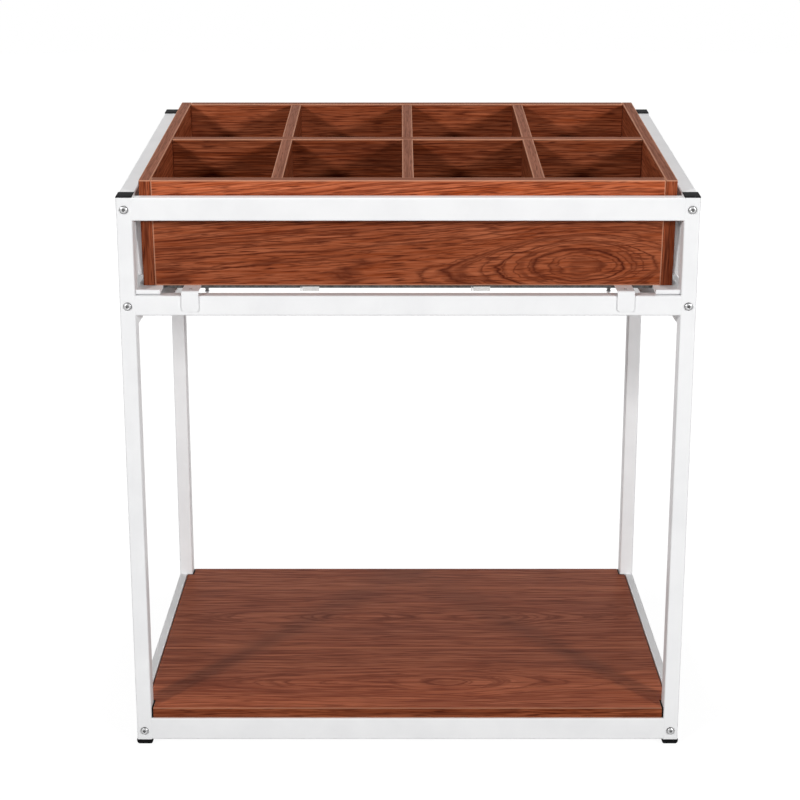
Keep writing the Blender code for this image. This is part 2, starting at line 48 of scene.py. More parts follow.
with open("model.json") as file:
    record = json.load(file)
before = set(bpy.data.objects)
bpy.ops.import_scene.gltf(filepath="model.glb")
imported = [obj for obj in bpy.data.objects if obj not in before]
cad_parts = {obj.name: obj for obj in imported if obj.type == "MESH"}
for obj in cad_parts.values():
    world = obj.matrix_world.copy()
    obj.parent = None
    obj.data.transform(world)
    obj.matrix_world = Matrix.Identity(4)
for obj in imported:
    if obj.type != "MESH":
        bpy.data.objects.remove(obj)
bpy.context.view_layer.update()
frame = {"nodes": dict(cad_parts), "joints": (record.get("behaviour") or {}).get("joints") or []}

SIDES = ("left", "right")
ENDS = ("front", "rear")
LEVELS = ("top", "mid", "bottom")
CORNERS = [f"{end}_{side}" for end in ENDS for side in SIDES]

# Axes as rows: the tray's own axes follow its slope, and a bar's third axis is the way it runs
TRAY_LIFT = next(joint for joint in frame["joints"] if joint["name"] == "tray_lift")
OFF_SLOPE = np.array(TRAY_LIFT["axis"], float)
ALONG_SLOPE = np.array((0.0, OFF_SLOPE[2], -OFF_SLOPE[1]))
SLOPE_RISE = ALONG_SLOPE[2] / ALONG_SLOPE[1]
WORLD_AXES = np.eye(3)
SLOPE_AXES = np.stack([(1.0, 0.0, 0.0), ALONG_SLOPE, OFF_SLOPE])
ACROSS_SLOPE_AXES = SLOPE_AXES[[1, 2, 0]]
SLOPE_DOWNWARDS = np.stack([(1.0, 0.0, 0.0), -ALONG_SLOPE, -OFF_SLOPE])
RUN_X = np.array([(0.0, 1.0, 0.0), (0.0, 0.0, 1.0), (1.0, 0.0, 0.0)])
RUN_Y = np.array([(0.0, 0.0, 1.0), (1.0, 0.0, 0.0), (0.0, 1.0, 0.0)])
LEFTWARDS = np.array([(0.0, -1.0, 0.0), (0.0, 0.0, 1.0), (-1.0, 0.0, 0.0)])
FRONTWARDS = np.array([(1.0, 0.0, 0.0), (0.0, 0.0, 1.0), (0.0, -1.0, 0.0)])
REARWARDS = np.array([(-1.0, 0.0, 0.0), (0.0, 0.0, 1.0), (0.0, 1.0, 0.0)])

# Signs of a plan's four quarters, counter-clockwise
QUARTERS = np.array([(1, 1), (-1, 1), (-1, -1), (1, -1)])

# How finely edges, turned pieces, bends and faces that are no longer flat are divided
ROUND_STEPS = 3
TURN_STEPS = 48
BEND_STEPS = 9
FACE_SPANS = 6
TINY = 1e-6
SMOOTH_ANGLE = math.radians(34)

# Wood print: a plank wider than any board, a heart that keeps its roundness, rings of straight grain and
# fibres to the metre, how far the edge line covers the print, and the depth of its relief
ONE_PLANK = 2.0
EVEN_HEART = (0.0, 1.0, 0.02, 0.02)
STRAIGHT_RINGS = 105.0
FINE_FIBRES = 260.0
# The pale edge line is partly the laminate's pale edge and partly a painted highlight
PALE_SHARE = 0.7
PRINT_DEPTH = 0.0003

# Camera, and the lamps with their places, sizes, power settings and whether reflections show them
CAMERA_PLACE = (-0.0125, -3.0219, 1.3587)
CAMERA_TILT = math.radians(90 - 14.846)
CAMERA_SHIFT = -0.035
SENSOR_WIDTH = 36.0
LAMP_AIM = np.array((0.0, 0.0, 0.7))
LAMPS = (
    ("softbox_left", (-3.4, -4.45, 2.7), (0.6, 0.6), "softbox_power", True),
    ("softbox_right", (3.4, -4.45, 2.05), (0.6, 0.6), "softbox_power", True),
    ("overhead", (0.0, 0.1, 4.5), (0.7, 0.7), "overhead_power", True),
    ("rear_fill", (0.0, 5.0, 1.0), (3.2, 1.0), "rear_power", False),
)
WHITE = (1.0, 1.0, 1.0, 1.0)


# Settings


def measure(name, default, description, unit="LENGTH"):
    """A setting that is one number: a length in metres, unless another unit is named."""
    return bpy.props.FloatProperty(name=name, description=description, default=default, unit=unit)


def tint(name, default, description):
    """A setting that is a linear colour."""
    return bpy.props.FloatVectorProperty(
        name=name, description=description, default=default, subtype="COLOR"
    )


class RackBoards(bpy.types.PropertyGroup):
    """Sizes and colours of the laminated boards."""

    ease: measure("Edge rounding", 0.0009, "Radius of the boards' edges")
    pale_width: measure("Pale line", 0.0015, "Width over which the pale line beside an edge fades")
    dark: tint("Dark grain", (0.070, 0.010, 0.004), "Colour of the dark growth lines")
    shade: tint("Shaded grain", (0.150, 0.034, 0.017), "Colour of the purplish patches")
    middle: tint("Middle grain", (0.225, 0.038, 0.0075), "Colour of most of the face")
    light: tint("Light grain", (0.470, 0.139, 0.062), "Colour of the light streaks")
    # Partly the laminate's pale edge, partly a painted highlight on the rounded edges
    pale: tint("Edge line", (0.60, 0.30, 0.19), "Colour of the pale line along the edges")
    band_dark: tint("Edge band, dark", (0.130, 0.042, 0.022), "Colour of the dark lines on the rims' bands")
    band_light: tint("Edge band, light", (0.290, 0.104, 0.057), "Ground colour of the rims' bands")


class RackSteel(bpy.types.PropertyGroup):
    """Sizes and colours of the powder-coated steel."""

    corner: measure("Tube corner", 0.0026, "Outer radius of the tubes' long edges")
    sheet_ease: measure("Sheet edge", 0.0004, "Radius of the edges of plates and tube ends")
    bend: measure("Hook bend", 0.0032, "Radius of the hooks' bend, to the middle of the strap")
    strap: measure("Hook strap", 0.0025, "Thickness of the hooks' strap")
    lip_setback: measure("Guard lip setback", 0.012, "How far the turned-in ends lie behind the edges")
    guard_lip: measure("Guard lip", 0.007, "How far the side guards' ends turn in towards the tray")
    weld: measure("Weld reach", 0.0015, "How far the welds fill the groove at a leg's rounded edge")
    edge_gap: measure("Shelf gap", 0.0022, "Gap between the shelf and the strip on each side of it")
    edge_ease: measure("Shelf strip edge", 0.0014, "Radius of the edges of the strips beside the shelf")
    coat: tint("Coat", (0.860, 0.862, 0.868), "Colour of the powder coat")
    coat_shade: tint("Coat, shaded", (0.820, 0.822, 0.830), "Colour of the coat's slight mottling")


class RackFixings(bpy.types.PropertyGroup):
    """Sizes and colours of the bolts, studs, caps and feet."""

    socket: measure("Bolt socket", 0.0046, "Width across the flats of the bolts' hexagon socket")
    shank: measure("Bolt shank", 0.006, "Diameter of the bolts' shanks")
    plastic_ease: measure("Moulding edge", 0.0007, "Radius of the edges of the caps")
    foot_ease: measure("Foot edge", 0.0018, "Radius of the edges of the feet")
    foot_brim: measure("Foot brim", 0.0009, "How far the feet stand out beyond the legs, on each side")
    plug_inset: measure("Plug inset", 0.0018, "How much smaller than the tube the plugs are, on each side")
    cap_crown: measure("Cap crown", 0.0004, "How far the caps' tops swell above their edges")
    seat: measure("Seat", 0.0003, "Gap left between pieces that touch")
    steel: tint("Steel", (0.520, 0.520, 0.525), "Colour of the plated steel")
    zinc: tint("Zinc", (0.66, 0.66, 0.65), "Colour of the spring clips' plating")
    mill_steel: tint("Mill steel", (0.420, 0.410, 0.400), "Colour of the bare ledge")
    # Painted shade: this dark colour stands for shade and dark reflection in recesses and under rims
    painted_shade: tint("Rim grime", (0.035, 0.034, 0.033), "Colour of the dark ring in recesses and under rims")
    plastic: tint("Plastic", (0.004, 0.004, 0.0045), "Colour of the caps, feet and notch strips")
    plastic_worn: tint("Plastic, worn", (0.011, 0.011, 0.012), "Colour of the plastic's paler texture")


class RackStage(bpy.types.PropertyGroup):
    """The floor, the light and the camera."""

    floor_radius: measure("Floor radius", 14.0, "Radius of the round floor")
    floor: tint("Floor", (0.45, 0.45, 0.45), "Colour of the floor")
    floor_seen: tint("Floor, seen", (0.14, 0.14, 0.14), "Colour under the glow, where the floor is seen")
    sky: measure("Sky level", 0.08, "Strength of the even light from all round", "NONE")
    softbox_power: measure("Softbox power", 174.0, "Watts of each of the two front lamps", "POWER")
    overhead_power: measure("Overhead power", 54.0, "Watts of the lamp over the rack", "POWER")
    rear_power: measure("Rear power", 120.0, "Watts of the low wide lamp behind the rack", "POWER")
    lens: measure("Lens", 79.85, "Focal length of the camera, in millimetres", "CAMERA")


# Shapes


def read_all(items, name, width=1, kind=np.float32):
    """One property of all of a mesh's items, as an array with a row for each."""
    values = np.empty(len(items) * width, kind)
    items.foreach_get(name, values)
    return values.reshape(-1, width)


def node_points(node):
    """The vertices of a CAD node as an array."""
    return read_all(frame["nodes"][node].data.vertices, "co", 3).astype(float)


def box_of(points):
    """Lowest and highest corner of some points."""
    return points.min(axis=0), points.max(axis=0)


def node_box(node, axes=WORLD_AXES):
    """Lowest and highest corner of a CAD node, measured along three axes."""
    return box_of(node_points(node) @ axes.T)


def levelled(points, rise, middle_y=0.0):
    """Points sheared so that what rises to the rear by this much becomes level."""
    return points - rise * (points[:, 1:2] - middle_y) * (0.0, 0.0, 1.0)


def quarter_turn(steps):
    """Angles from 0 to a right angle."""
    return np.linspace(0, math.pi / 2, steps)


def grid_quads(rows, columns, start=0, closed=False):
    """Quads of a grid whose points are numbered row by row.

    A closed grid joins its last column to its first.
    """
    index = start + np.arange(rows * columns).reshape(rows, columns)
    after = np.roll(index, -1, axis=1)
    if not closed:
        index, after = index[:, :-1], after[:, :-1]
    return np.stack([index[:-1], after[:-1], after[1:], index[1:]], axis=-1).reshape(-1, 4)


def tube_faces(rings, corners):
    """Faces of rings joined one to the next, with both end rings closed by a flat face."""
    faces = grid_quads(rings, corners, closed=True).tolist()
    faces.append(list(range(corners))[::-1])
    faces.append(list(range((rings - 1) * corners, rings * corners)))
    return faces


def eased_box(low, high, ease, band=0.0, spans=1):
    """A box with all its edges rounded.

    Each face is a grid over two axes. A point p of the plain box goes to c + ease * (p - c) / |p - c|,
    where c is p held inside the box that is smaller by ease all round. Gives the points, the faces, and
    a mark of 1 on rounded edges that falls to 0 over the width of the band.
    """
    low, high = np.asarray(low, float), np.asarray(high, float)
    half = (high - low) / 2
    core = half - ease
    turn = np.linspace(0, math.pi / 4, ROUND_STEPS)
    places = []
    for reach in core:
        outer = reach + ease * np.tan(turn)
        inner = np.linspace(band - reach, reach - band, spans + 1)
        if not band:
            inner = inner[1:-1]
        places.append(np.concatenate([-outer[::-1], inner, outer]))
    grids, quads, start = [], [], 0
    for axis in range(3):
        across, along = (axis + 2) % 3, (axis + 1) % 3
        rows, columns = len(places[across]), len(places[along])
        for sign in (1, -1):
            grid = np.empty((rows, columns, 3))
            grid[..., across] = places[across][:, None]
            grid[..., along] = places[along]
            grid[..., axis] = sign * half[axis]
            grids.append(grid.reshape(-1, 3))
            quads.append(grid_quads(rows, columns, start)[:, ::sign])
            start += rows * columns
    points = np.concatenate(grids)
    held = np.clip(points, -core, core)
    away = points - held
    points = held + ease * away / np.linalg.norm(away, axis=1, keepdims=True)
    points, place = np.unique(np.round(points, 8), axis=0, return_inverse=True)
    faces = place.reshape(-1)[np.concatenate(quads)]
    mark = (np.abs(points) > core - TINY).sum(axis=1) > 1
    return points + (low + high) / 2, faces.tolist(), mark.astype(float)


def plate(outline, low, high, ease, band=0.0):
    """A flat outline, counter-clockwise, carried from one height to another with its rims rounded.

    Ring k is the outline drawn in by inset(k) along its mitred corners. Over a quarter turn a from face to
    wall the inset is ease * (1 - sin a) and the height above the face is ease * (1 - cos a). Gives points,
    faces and the same edge mark as a box.
    """
    outline = np.asarray(outline, float)
    ahead = np.roll(outline, -1, axis=0) - outline
    ahead /= np.linalg.norm(ahead, axis=1, keepdims=True)
    inward = np.stack([-ahead[:, 1], ahead[:, 0]], axis=1)
    before = np.roll(inward, 1, axis=0)
    mitre = (inward + before) / (1 + (inward * before).sum(axis=1, keepdims=True))
    turn = quarter_turn(2 * ROUND_STEPS - 1)
    inset = ease * (1 - np.sin(turn))
    height = ease * (1 - np.cos(turn))
    mark = np.ones_like(turn)
    if band:
        inset = np.concatenate([[ease + band], inset, [0.0]])
        height = np.concatenate([[0.0], height, [ease + band]])
        mark = np.concatenate([[0.0], mark, [0.0]])
    inset = np.concatenate([inset, inset[::-1]])
    height = np.concatenate([low + height, high - height[::-1]])
    mark = np.concatenate([mark, mark[::-1]])
    rings, corners = len(inset), len(outline)
    points = np.empty((rings, corners, 3))
    points[..., :2] = outline + inset[:, None, None] * mitre
    points[..., 2] = height[:, None]
    return points.reshape(-1, 3), tube_faces(rings, corners), np.repeat(mark, corners)


def rounded_outline(low, high, radius):
    """Rectangle with quarter-circle corners, counter-clockwise."""
    low, high = np.asarray(low, float), np.asarray(high, float)
    start = np.arange(4)[:, None] * math.pi / 2
    angle = start + quarter_turn(2 * ROUND_STEPS)
    centres = (low + high) / 2 + QUARTERS * ((high - low) / 2 - radius)
    points = centres[:, None, :] + radius * np.stack([np.cos(angle), np.sin(angle)], axis=-1)
    return points.reshape(-1, 2)


def turned(profile, steps=TURN_STEPS):
    """A profile of (radius, height, sides, mark) spun about Z.

    It goes from the lower end round the outside to the top. A ring with sides is a polygon: its radius at
    angle a is r / cos(a') with a' the angle from the middle of the nearest flat. The mark rides along for
    the material. Both end rings are closed with a flat face.
    """
    radius, height, sides, mark = (np.array(column, float)[:, None] for column in zip(*profile))
    angle = np.linspace(0, 2 * math.pi, steps, endpoint=False)[None, :]
    flat = 2 * math.pi / np.where(sides > 0, sides, 1)
    from_flat = np.mod(angle + flat / 2, flat) - flat / 2
    reach = np.where(sides > 0, radius / np.cos(np.where(sides > 0, from_flat, 0)), radius)
    level = np.broadcast_to(height, reach.shape)
    points = np.stack([reach * np.cos(angle), reach * np.sin(angle), level], axis=-1)
    return points.reshape(-1, 3), tube_faces(len(profile), steps), np.repeat(mark[:, 0], steps)


def swept_strap(path, half_width, thickness, ease):
    """A flat strap: a rounded rectangle carried along a path in the YZ plane, its width along X.

    Ring k stands at path(k), square to the path's direction there, half_width(k) wide to each side.
    """
    path = np.asarray(path, float)
    ahead = np.gradient(path, axis=0)
    ahead /= np.linalg.norm(ahead, axis=1, keepdims=True)
    normal = np.stack([-ahead[:, 1], ahead[:, 0]], axis=1)
    section = rounded_outline((-1.0, -thickness / 2), (1.0, thickness / 2), ease)
    rings, corners = len(path), len(section)
    points = np.empty((rings, corners, 3))
    points[..., 0] = np.sign(section[:, 0]) * (half_width[:, None] - 1.0) + section[:, 0]
    points[..., 1:] = path[:, None, :] + section[None, :, 1:] * normal[:, None, :]
    return points.reshape(-1, 3), tube_faces(rings, corners), np.zeros(rings * corners)


def joined(*shapes):
    """Several shapes as one: their points, faces and marks one after another."""
    points, faces, marks, start = [], [], [], 0
    for shape_points, shape_faces, shape_mark in shapes:
        points.append(shape_points)
        faces += [[start + corner for corner in face] for face in shape_faces]
        marks.append(shape_mark)
        start += len(shape_points)
    return np.concatenate(points), faces, np.concatenate(marks)


def placed(shape, axes=WORLD_AXES, origin=(0.0, 0.0, 0.0)):
    """A shape given in its own axes, put into the rack's."""
    points, faces, mark = shape
    return points @ axes + np.asarray(origin, float), faces, mark


def stood(shape, low, high, base, axes=WORLD_AXES):
    """A turned shape stood in the middle of a box that is measured along these axes, from a base up."""
    middle = (low + high) / 2
    return placed(shape, axes, np.array((middle[0], middle[1], base)) @ axes)


def put_in(name, shape, material, body, nodes=()):
    """Make a shape a piece that rides on a body, takes a slot's finish and stands for CAD nodes."""
    points, faces, mark = shape
    mesh = bpy.data.meshes.new(name)
    mesh.from_pydata(points.tolist(), [], faces)
    if mesh.validate():
        raise RuntimeError(f"{name} has faces that Blender can't keep")
    mesh.attributes.new("edge_mark", "FLOAT", "POINT").data.foreach_set("value", mark.astype(np.float32))
    mesh.materials.append(material)
    mesh.shade_smooth()
    mesh.set_sharp_from_angle(angle=SMOOTH_ANGLE)
    piece = bpy.data.objects.new(name, mesh)
    bpy.context.scene.collection.objects.link(piece)
    normals = piece.modifiers.new("flat faces stay flat", "WEIGHTED_NORMAL")
    normals.keep_sharp = True
    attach(piece, body)
    if nodes:
        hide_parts(*nodes)
    return piece


def put_coated(node, shape):
    """Make a shape the powder-coated piece that stands for a node of the stand."""
    put_in(f"coated_{node}", shape, powder_coat(), "stand", [node])


def put_moulded(node, shape):
    """Make a shape the plastic piece that stands for a node of the stand."""
    put_in(f"moulded_{node}", shape, black_plastic(), "stand", [node])


def put_steel(node, shape, metal):
    """Make a shape the bare metal piece that stands for a node of the stand."""
    put_in(f"steel_{node}", shape, metal, "stand", [node])


def put_board(node, shape, laminate, body, order, start):
    """Make a shape the board that stands for a node of the tray or dividers, with a band on its rims."""
    piece = put_in(f"walnut_{node}", shape, laminate, body, [node])
    lay_grain(piece, SLOPE_AXES, order, start, edge_band(), 2)


def mark_rims(shape, top, reach, front=None):
    """Keep a board's edge mark beside its top and, where a front is given, a little fainter beside that."""
    # The pale line, partly a painted highlight, is kept to the edges that face the light
    front_share = 0.9
    points, faces, mark = shape
    keep = (points[:, 2] > top - reach).astype(float)
    if front is not None:
        keep = np.maximum(keep, front_share * (points[:, 1] < front + reach))
    return points, faces, mark * keep


def lay_grain(piece, axes, order, start, band, band_axis):
    """Give a board its grain map, in metres: u runs along the grain and v across it.

    On each face the grain runs along the first of the ordered axes that lies in the face. Faces that look
    along the band's axis take the band's material.
    """
    mesh = piece.data
    corner = read_all(mesh.loops, "vertex_index", kind=np.int32)[:, 0]
    sizes = read_all(mesh.polygons, "loop_total", kind=np.int32)[:, 0]
    facing = np.abs(read_all(mesh.polygons, "normal", 3) @ axes.T).argmax(axis=1)
    ways = np.array([[axis for axis in order if axis != faced] for faced in range(3)])
    chosen = np.repeat(ways[facing], sizes, axis=0)
    local = (read_all(mesh.vertices, "co", 3) @ axes.T - np.asarray(start, float))[corner]
    grain = np.take_along_axis(local, chosen, axis=1)
    layer = mesh.uv_layers.new(name="grain")
    layer.data.foreach_set("uv", grain.astype(np.float32).ravel())
    mesh.materials.append(band)
    mesh.polygons.foreach_set("material_index", (facing == band_axis).astype(np.int32))
    mesh.update()


# Finishes


class Graph:
    """Puts nodes into one shader tree and links their sockets."""

    def __init__(self, tree):
        self.tree = tree

    def feed(self, socket, value):
        if isinstance(value, bpy.types.NodeSocket):
            self.tree.links.new(value, socket)
        else:
            socket.default_value = value

    def add(self, kind, inputs=None, **settings):
        node = self.tree.nodes.new(kind)
        for name, value in settings.items():
            setattr(node, name, value)
        for name, value in (inputs or {}).items():
            self.feed(node.inputs[name], value)
        return node

    def math(self, operation, *values):
        return self.add("ShaderNodeMath", dict(enumerate(values)), operation=operation).outputs[0]

    def vector(self, operation, *values):
        outputs = self.add("ShaderNodeVectorMath", dict(enumerate(values)), operation=operation).outputs
        return outputs["Value" if operation in ("DOT_PRODUCT", "LENGTH") else "Vector"]

    def noise(self, vector, scale=1.0, detail=2.0, roughness=0.5):
        settings = {"Vector": vector, "Scale": scale, "Detail": detail, "Roughness": roughness}
        return self.add("ShaderNodeTexNoise", settings).outputs["Fac"]

    def spread(self, value, low, high, to_low=0.0, to_high=1.0, way="LINEAR"):
        settings = {"Value": value, "From Min": low, "From Max": high, "To Min": to_low, "To Max": to_high}
        return self.add("ShaderNodeMapRange", settings, interpolation_type=way).outputs["Result"]

    def mix(self, factor, first, second):
        return self.add("ShaderNodeMix", {0: factor, 6: first, 7: second}, data_type="RGBA").outputs[2]

    def group(self, tree, inputs):
        return self.add("ShaderNodeGroup", inputs, node_tree=tree).outputs

    def object_place(self):
        return self.add("ShaderNodeTexCoord").outputs["Object"]

    def grain_map(self):
        return self.add("ShaderNodeUVMap", uv_map="grain").outputs["UV"]

    def edge_mark(self):
        return self.add("ShaderNodeAttribute", attribute_name="edge_mark").outputs["Fac"]


def made_once(name):
    """Have a maker run only once: later calls give the material or node group that has this name."""

    def wrap(maker):
        @functools.wraps(maker)
        def find_or_make():
            return bpy.data.materials.get(name) or bpy.data.node_groups.get(name) or maker(name)

        return find_or_make

    return wrap


def opaque(colour):
    """A settings colour with full alpha."""
    return (*colour, 1.0)


def new_group(name, inputs, outputs):
    """An empty shader node group with sockets of these names and kinds, and a graph for its inside."""
    tree = bpy.data.node_groups.new(name, "ShaderNodeTree")
    for in_out, sockets in (("INPUT", inputs), ("OUTPUT", outputs)):
        for socket, kind in sockets.items():
            tree.interface.new_socket(socket, in_out=in_out, socket_type=f"NodeSocket{kind}")
    graph = Graph(tree)
    return tree, graph, graph.add("NodeGroupInput").outputs, graph.add("NodeGroupOutput").inputs


@made_once("growth_eye")
def heart_group(name):
    """Where the growth lines close into an eye: -Depth * exp(-|(Grain - Centre) / Reach|^2)."""
    inputs = {"Grain": "Vector", "Centre": "Vector", "Reach": "Vector", "Depth": "Float"}
    tree, graph, given, out = new_group(name, inputs, {"Lift": "Float"})
    away = graph.vector("DIVIDE", graph.vector("SUBTRACT", given["Grain"], given["Centre"]), given["Reach"])
    squared = graph.vector("DOT_PRODUCT", away, away)
    fall = graph.math("POWER", math.e, graph.math("MULTIPLY", squared, -1.0))
    graph.feed(out["Lift"], graph.math("MULTIPLY", fall, graph.math("MULTIPLY", given["Depth"], -1.0)))
    return tree


@made_once("laminate_print")
def laminate_group(name):
    """Plain-sawn wood print.

    In each plank, with d the distance across from its heart line, the growth field is
    sqrt(Heart^2 + d^2) - Heart + tips(u) + sway(u, v) + Lift. A dark growth line stands at each whole
    number of Rings * field + Phase + jitter. Fainter lines and shaded patches are noises of the field,
    stretched along the grain, and the fibres, that many to the metre, run straight. A light line shows
    where two planks meet.
    """
    numbers = ("Lift", "Plank", "Heart", "Tips", "Rings", "Phase", "Fibres")
    colours = ("Dark", "Shade", "Middle", "Light")
    inputs = {"Grain": "Vector", **dict.fromkeys(numbers, "Float"), **dict.fromkeys(colours, "Color")}
    tree, graph, given, out = new_group(name, inputs, {"Colour": "Color", "Height": "Float"})

    def times(value, factor):
        return graph.math("MULTIPLY", value, factor)

    def plus(total, *values):
        for value in values:
            total = graph.math("ADD", total, value)
        return total

    def minus(value, other):
        return graph.math("SUBTRACT", value, other)

    def off_middle(value):
        return graph.math("ABSOLUTE", minus(value, 0.5))

    def drawn_out(per_metre, crosswise, layer, detail=2.0, roughness=0.5):
        """Noise with about so many turns to the metre along the grain."""
        place = {"X": times(along, per_metre), "Y": crosswise, "Z": layer}
        return graph.noise(graph.add("ShaderNodeCombineXYZ", place).outputs[0], 1.0, detail, roughness)

    split = graph.add("ShaderNodeSeparateXYZ", {"Vector": given["Grain"]}).outputs
    along, across = split["X"], split["Y"]
    plank = graph.math("FLOOR", graph.math("DIVIDE", across, given["Plank"]))
    off_heart = minus(across, times(plus(plank, 0.5), given["Plank"]))
    squares = plus(times(given["Heart"], given["Heart"]), times(off_heart, off_heart))
    bowed = minus(graph.math("SQRT", squares), given["Heart"])
    tips = minus(drawn_out(3.1, times(plank, 5.7), 0.0, 1.0), 0.5)
    sway = minus(drawn_out(2.6, times(across, 6.0), times(plank, 3.3)), 0.5)
    wobble = minus(drawn_out(15.0, times(across, 60.0), 4.0, 3.0, 0.65), 0.5)
    sway_reach, wobble_reach = 0.014, 0.004
    swayed = plus(bowed, times(tips, given["Tips"]), times(sway, sway_reach))
    field = plus(swayed, times(wobble, wobble_reach), given["Lift"])
    rings = times(field, given["Rings"])
    side = plus(times(off_heart, 5.0), times(plank, 2.9))

    jitter = minus(drawn_out(3.2, times(rings, 0.9), side), 0.5)
    turn = graph.math("FRACT", plus(rings, jitter, given["Phase"]))
    weight = drawn_out(2.8, times(rings, 0.7), plus(side, 5.0))
    bold = times(graph.spread(off_middle(turn), 0.38, 0.49), graph.spread(weight, 0.32, 0.62, 0.30, 0.95))
    second = drawn_out(4.5, times(rings, 1.5), plus(side, 8.3), 2.0, 0.6)
    faint = graph.spread(off_middle(second), 0.0, 0.055, 0.70, 0.0)
    patches = drawn_out(2.0, times(rings, 0.22), plus(side, 11.4))

    fine = given["Fibres"]
    fibres = drawn_out(times(fine, 0.045), times(across, fine), side, 2.0, 0.65)
    pores = drawn_out(times(fine, 0.1), times(across, times(fine, 1.8)), 9.0, 1.0)
    broad = drawn_out(2.2, times(rings, 0.45), side)
    broad_share, fibre_share = 0.3, 0.7
    broad_tone = times(graph.spread(broad, 0.32, 0.68), broad_share)
    tone = plus(broad_tone, times(graph.spread(fibres, 0.32, 0.68), fibre_share))
    body = graph.mix(tone, given["Middle"], given["Light"])
    body = graph.mix(graph.spread(patches, 0.45, 0.72, 0.0, 0.35), body, given["Shade"])
    lines = graph.math("MAXIMUM", bold, faint)
    cut = graph.math("MAXIMUM", lines, graph.spread(pores, 0.53, 0.68, 0.0, 0.85))
    to_joint = minus(times(given["Plank"], 0.5), graph.math("ABSOLUTE", off_heart))
    joint = graph.spread(to_joint, 0.0015, 0.0045, 0.8, 0.0)
    printed = graph.mix(joint, graph.mix(cut, body, given["Dark"]), given["Light"])
    graph.feed(out["Colour"], printed)
    graph.feed(out["Height"], minus(1.0, cut))
    return tree


@made_once("surface_texture")
def texture_group(name):
    """Fine even relief of a coated or moulded surface, and a slow mottling of its colour."""
    inputs = {"Place": "Vector", "Grain Size": "Float", "Mottle Size": "Float"}
    tree, graph, given, out = new_group(name, inputs, {"Height": "Float", "Mottle": "Float"})
    fine = graph.noise(given["Place"], graph.math("DIVIDE", 1.0, given["Grain Size"]))
    slow = graph.noise(given["Place"], graph.math("DIVIDE", 1.0, given["Mottle Size"]), detail=3.0)
    graph.feed(out["Height"], fine)
    graph.feed(out["Mottle"], graph.spread(slow, 0.35, 0.65))
    return tree


def new_material(name):
    """An empty node material with its Principled shader, and a graph for it."""
    material = bpy.data.materials.new(name)
    material.use_nodes = True
    return material, Graph(material.node_tree), material.node_tree.nodes["Principled BSDF"].inputs


def dress(graph, shader, colour, roughness, height, relief, depth):
    """Link a shader's colour and roughness, and its normal from a height that is so strong and so deep."""
    graph.feed(shader["Base Color"], colour)
    graph.feed(shader["Roughness"], roughness)
    bump = {"Height": height, "Strength": relief, "Distance": depth}
    graph.feed(shader["Normal"], graph.add("ShaderNodeBump", bump).outputs["Normal"])


def dress_board(graph, shader, colour, height, roughness, relief):
    """Link a board's shader, with the pale line, partly a painted highlight, drawn over the print along the
    rounded edges.
    """
    pale = opaque(bpy.context.scene.rack_boards.pale)
    edged = graph.mix(graph.math("MULTIPLY", graph.edge_mark(), PALE_SHARE), colour, pale)
    dress(graph, shader, edged, graph.spread(height, 0.0, 1.0, *roughness), height, relief, PRINT_DEPTH)


def textured(graph, grain_size, mottle_size):
    """The surface texture on a piece, with its own sizes."""
    inputs = {"Place": graph.object_place(), "Grain Size": grain_size, "Mottle Size": mottle_size}
    return graph.group(texture_group(), inputs)


def walnut(
    name,
    plank,
    rings,
    heart=EVEN_HEART,
    tips=0.0,
    phase=0.0,
    eyes=(),
    lean=(0.0, 0.0),
    painted_light_and_shade=None,
    tone=1.0,
    line=1.0,
    fibres=FINE_FIBRES,
):
    """Printed walnut laminate, with a pale line, partly a painted highlight, along the rounded edges.

    The heart's roundness goes from its first value to its second between two places along the grain. Eyes
    are (centre, reach, depth). The grain leans: v - rise * (u - pivot). Above a height v the print is
    scaled lighter or darker, up to a gain: painted light and shade. Tone scales all the print's colours,
    and line says how far the growth lines go from the ground's colour to the dark one.
    """
    boards = bpy.context.scene.rack_boards
    dark, shade, middle, light = map(np.array, (boards.dark, boards.shade, boards.middle, boards.light))
    material, graph, shader = new_material(name)
    split = graph.add("ShaderNodeSeparateXYZ", {"Vector": graph.grain_map()}).outputs
    along, across = split["X"], split["Y"]
    rise, pivot = lean
    leaned = graph.math("MULTIPLY_ADD", along, -rise, graph.math("ADD", across, rise * pivot))
    grain = graph.add("ShaderNodeCombineXYZ", {"X": along, "Y": leaned}).outputs[0]
    lift = 0.0
    for centre, reach, depth in eyes:
        settings = {"Grain": grain, "Centre": (*centre, 0.0), "Reach": (*reach, 1.0), "Depth": depth}
        lift = graph.math("ADD", graph.group(heart_group(), settings)["Lift"], lift)
    print_settings = {
        "Grain": grain,
        "Lift": lift,
        "Plank": plank,
        "Heart": graph.spread(along, *heart, way="SMOOTHSTEP"),
        "Tips": tips,
        "Rings": rings,
        "Phase": phase,
        "Fibres": fibres,
        "Dark": opaque(tone * ((1 - line) * middle + line * dark)),
        "Shade": opaque(tone * shade),
        "Middle": opaque(tone * middle),
        "Light": opaque(tone * light),
    }
    printed = graph.group(laminate_group(), print_settings)
    colour = printed["Colour"]
    # Painted light and shade: beyond a height across the grain the print is scaled lighter or darker
    if painted_light_and_shade:
        height, fade, gain = painted_light_and_shade
        scaled = {"Vector": colour, "Scale": graph.spread(across, height, height + fade, 1.0, gain)}
        colour = graph.add("ShaderNodeVectorMath", scaled, operation="SCALE").outputs[0]
    dress_board(graph, shader, colour, printed["Height"], roughness=(0.46, 0.36), relief=0.12)
    shader["Specular IOR Level"].default_value = 0.04
    return material


@made_once("walnut_inner_laminate")
def inner_walnut(name):
    """Straight-grained darker laminate of the tray's inside and of the shelf's front and rear edges."""
    # Painted shade: the tone of 0.72 darkens the walls inside the cells
    return walnut(name, ONE_PLANK, STRAIGHT_RINGS, tone=0.72)


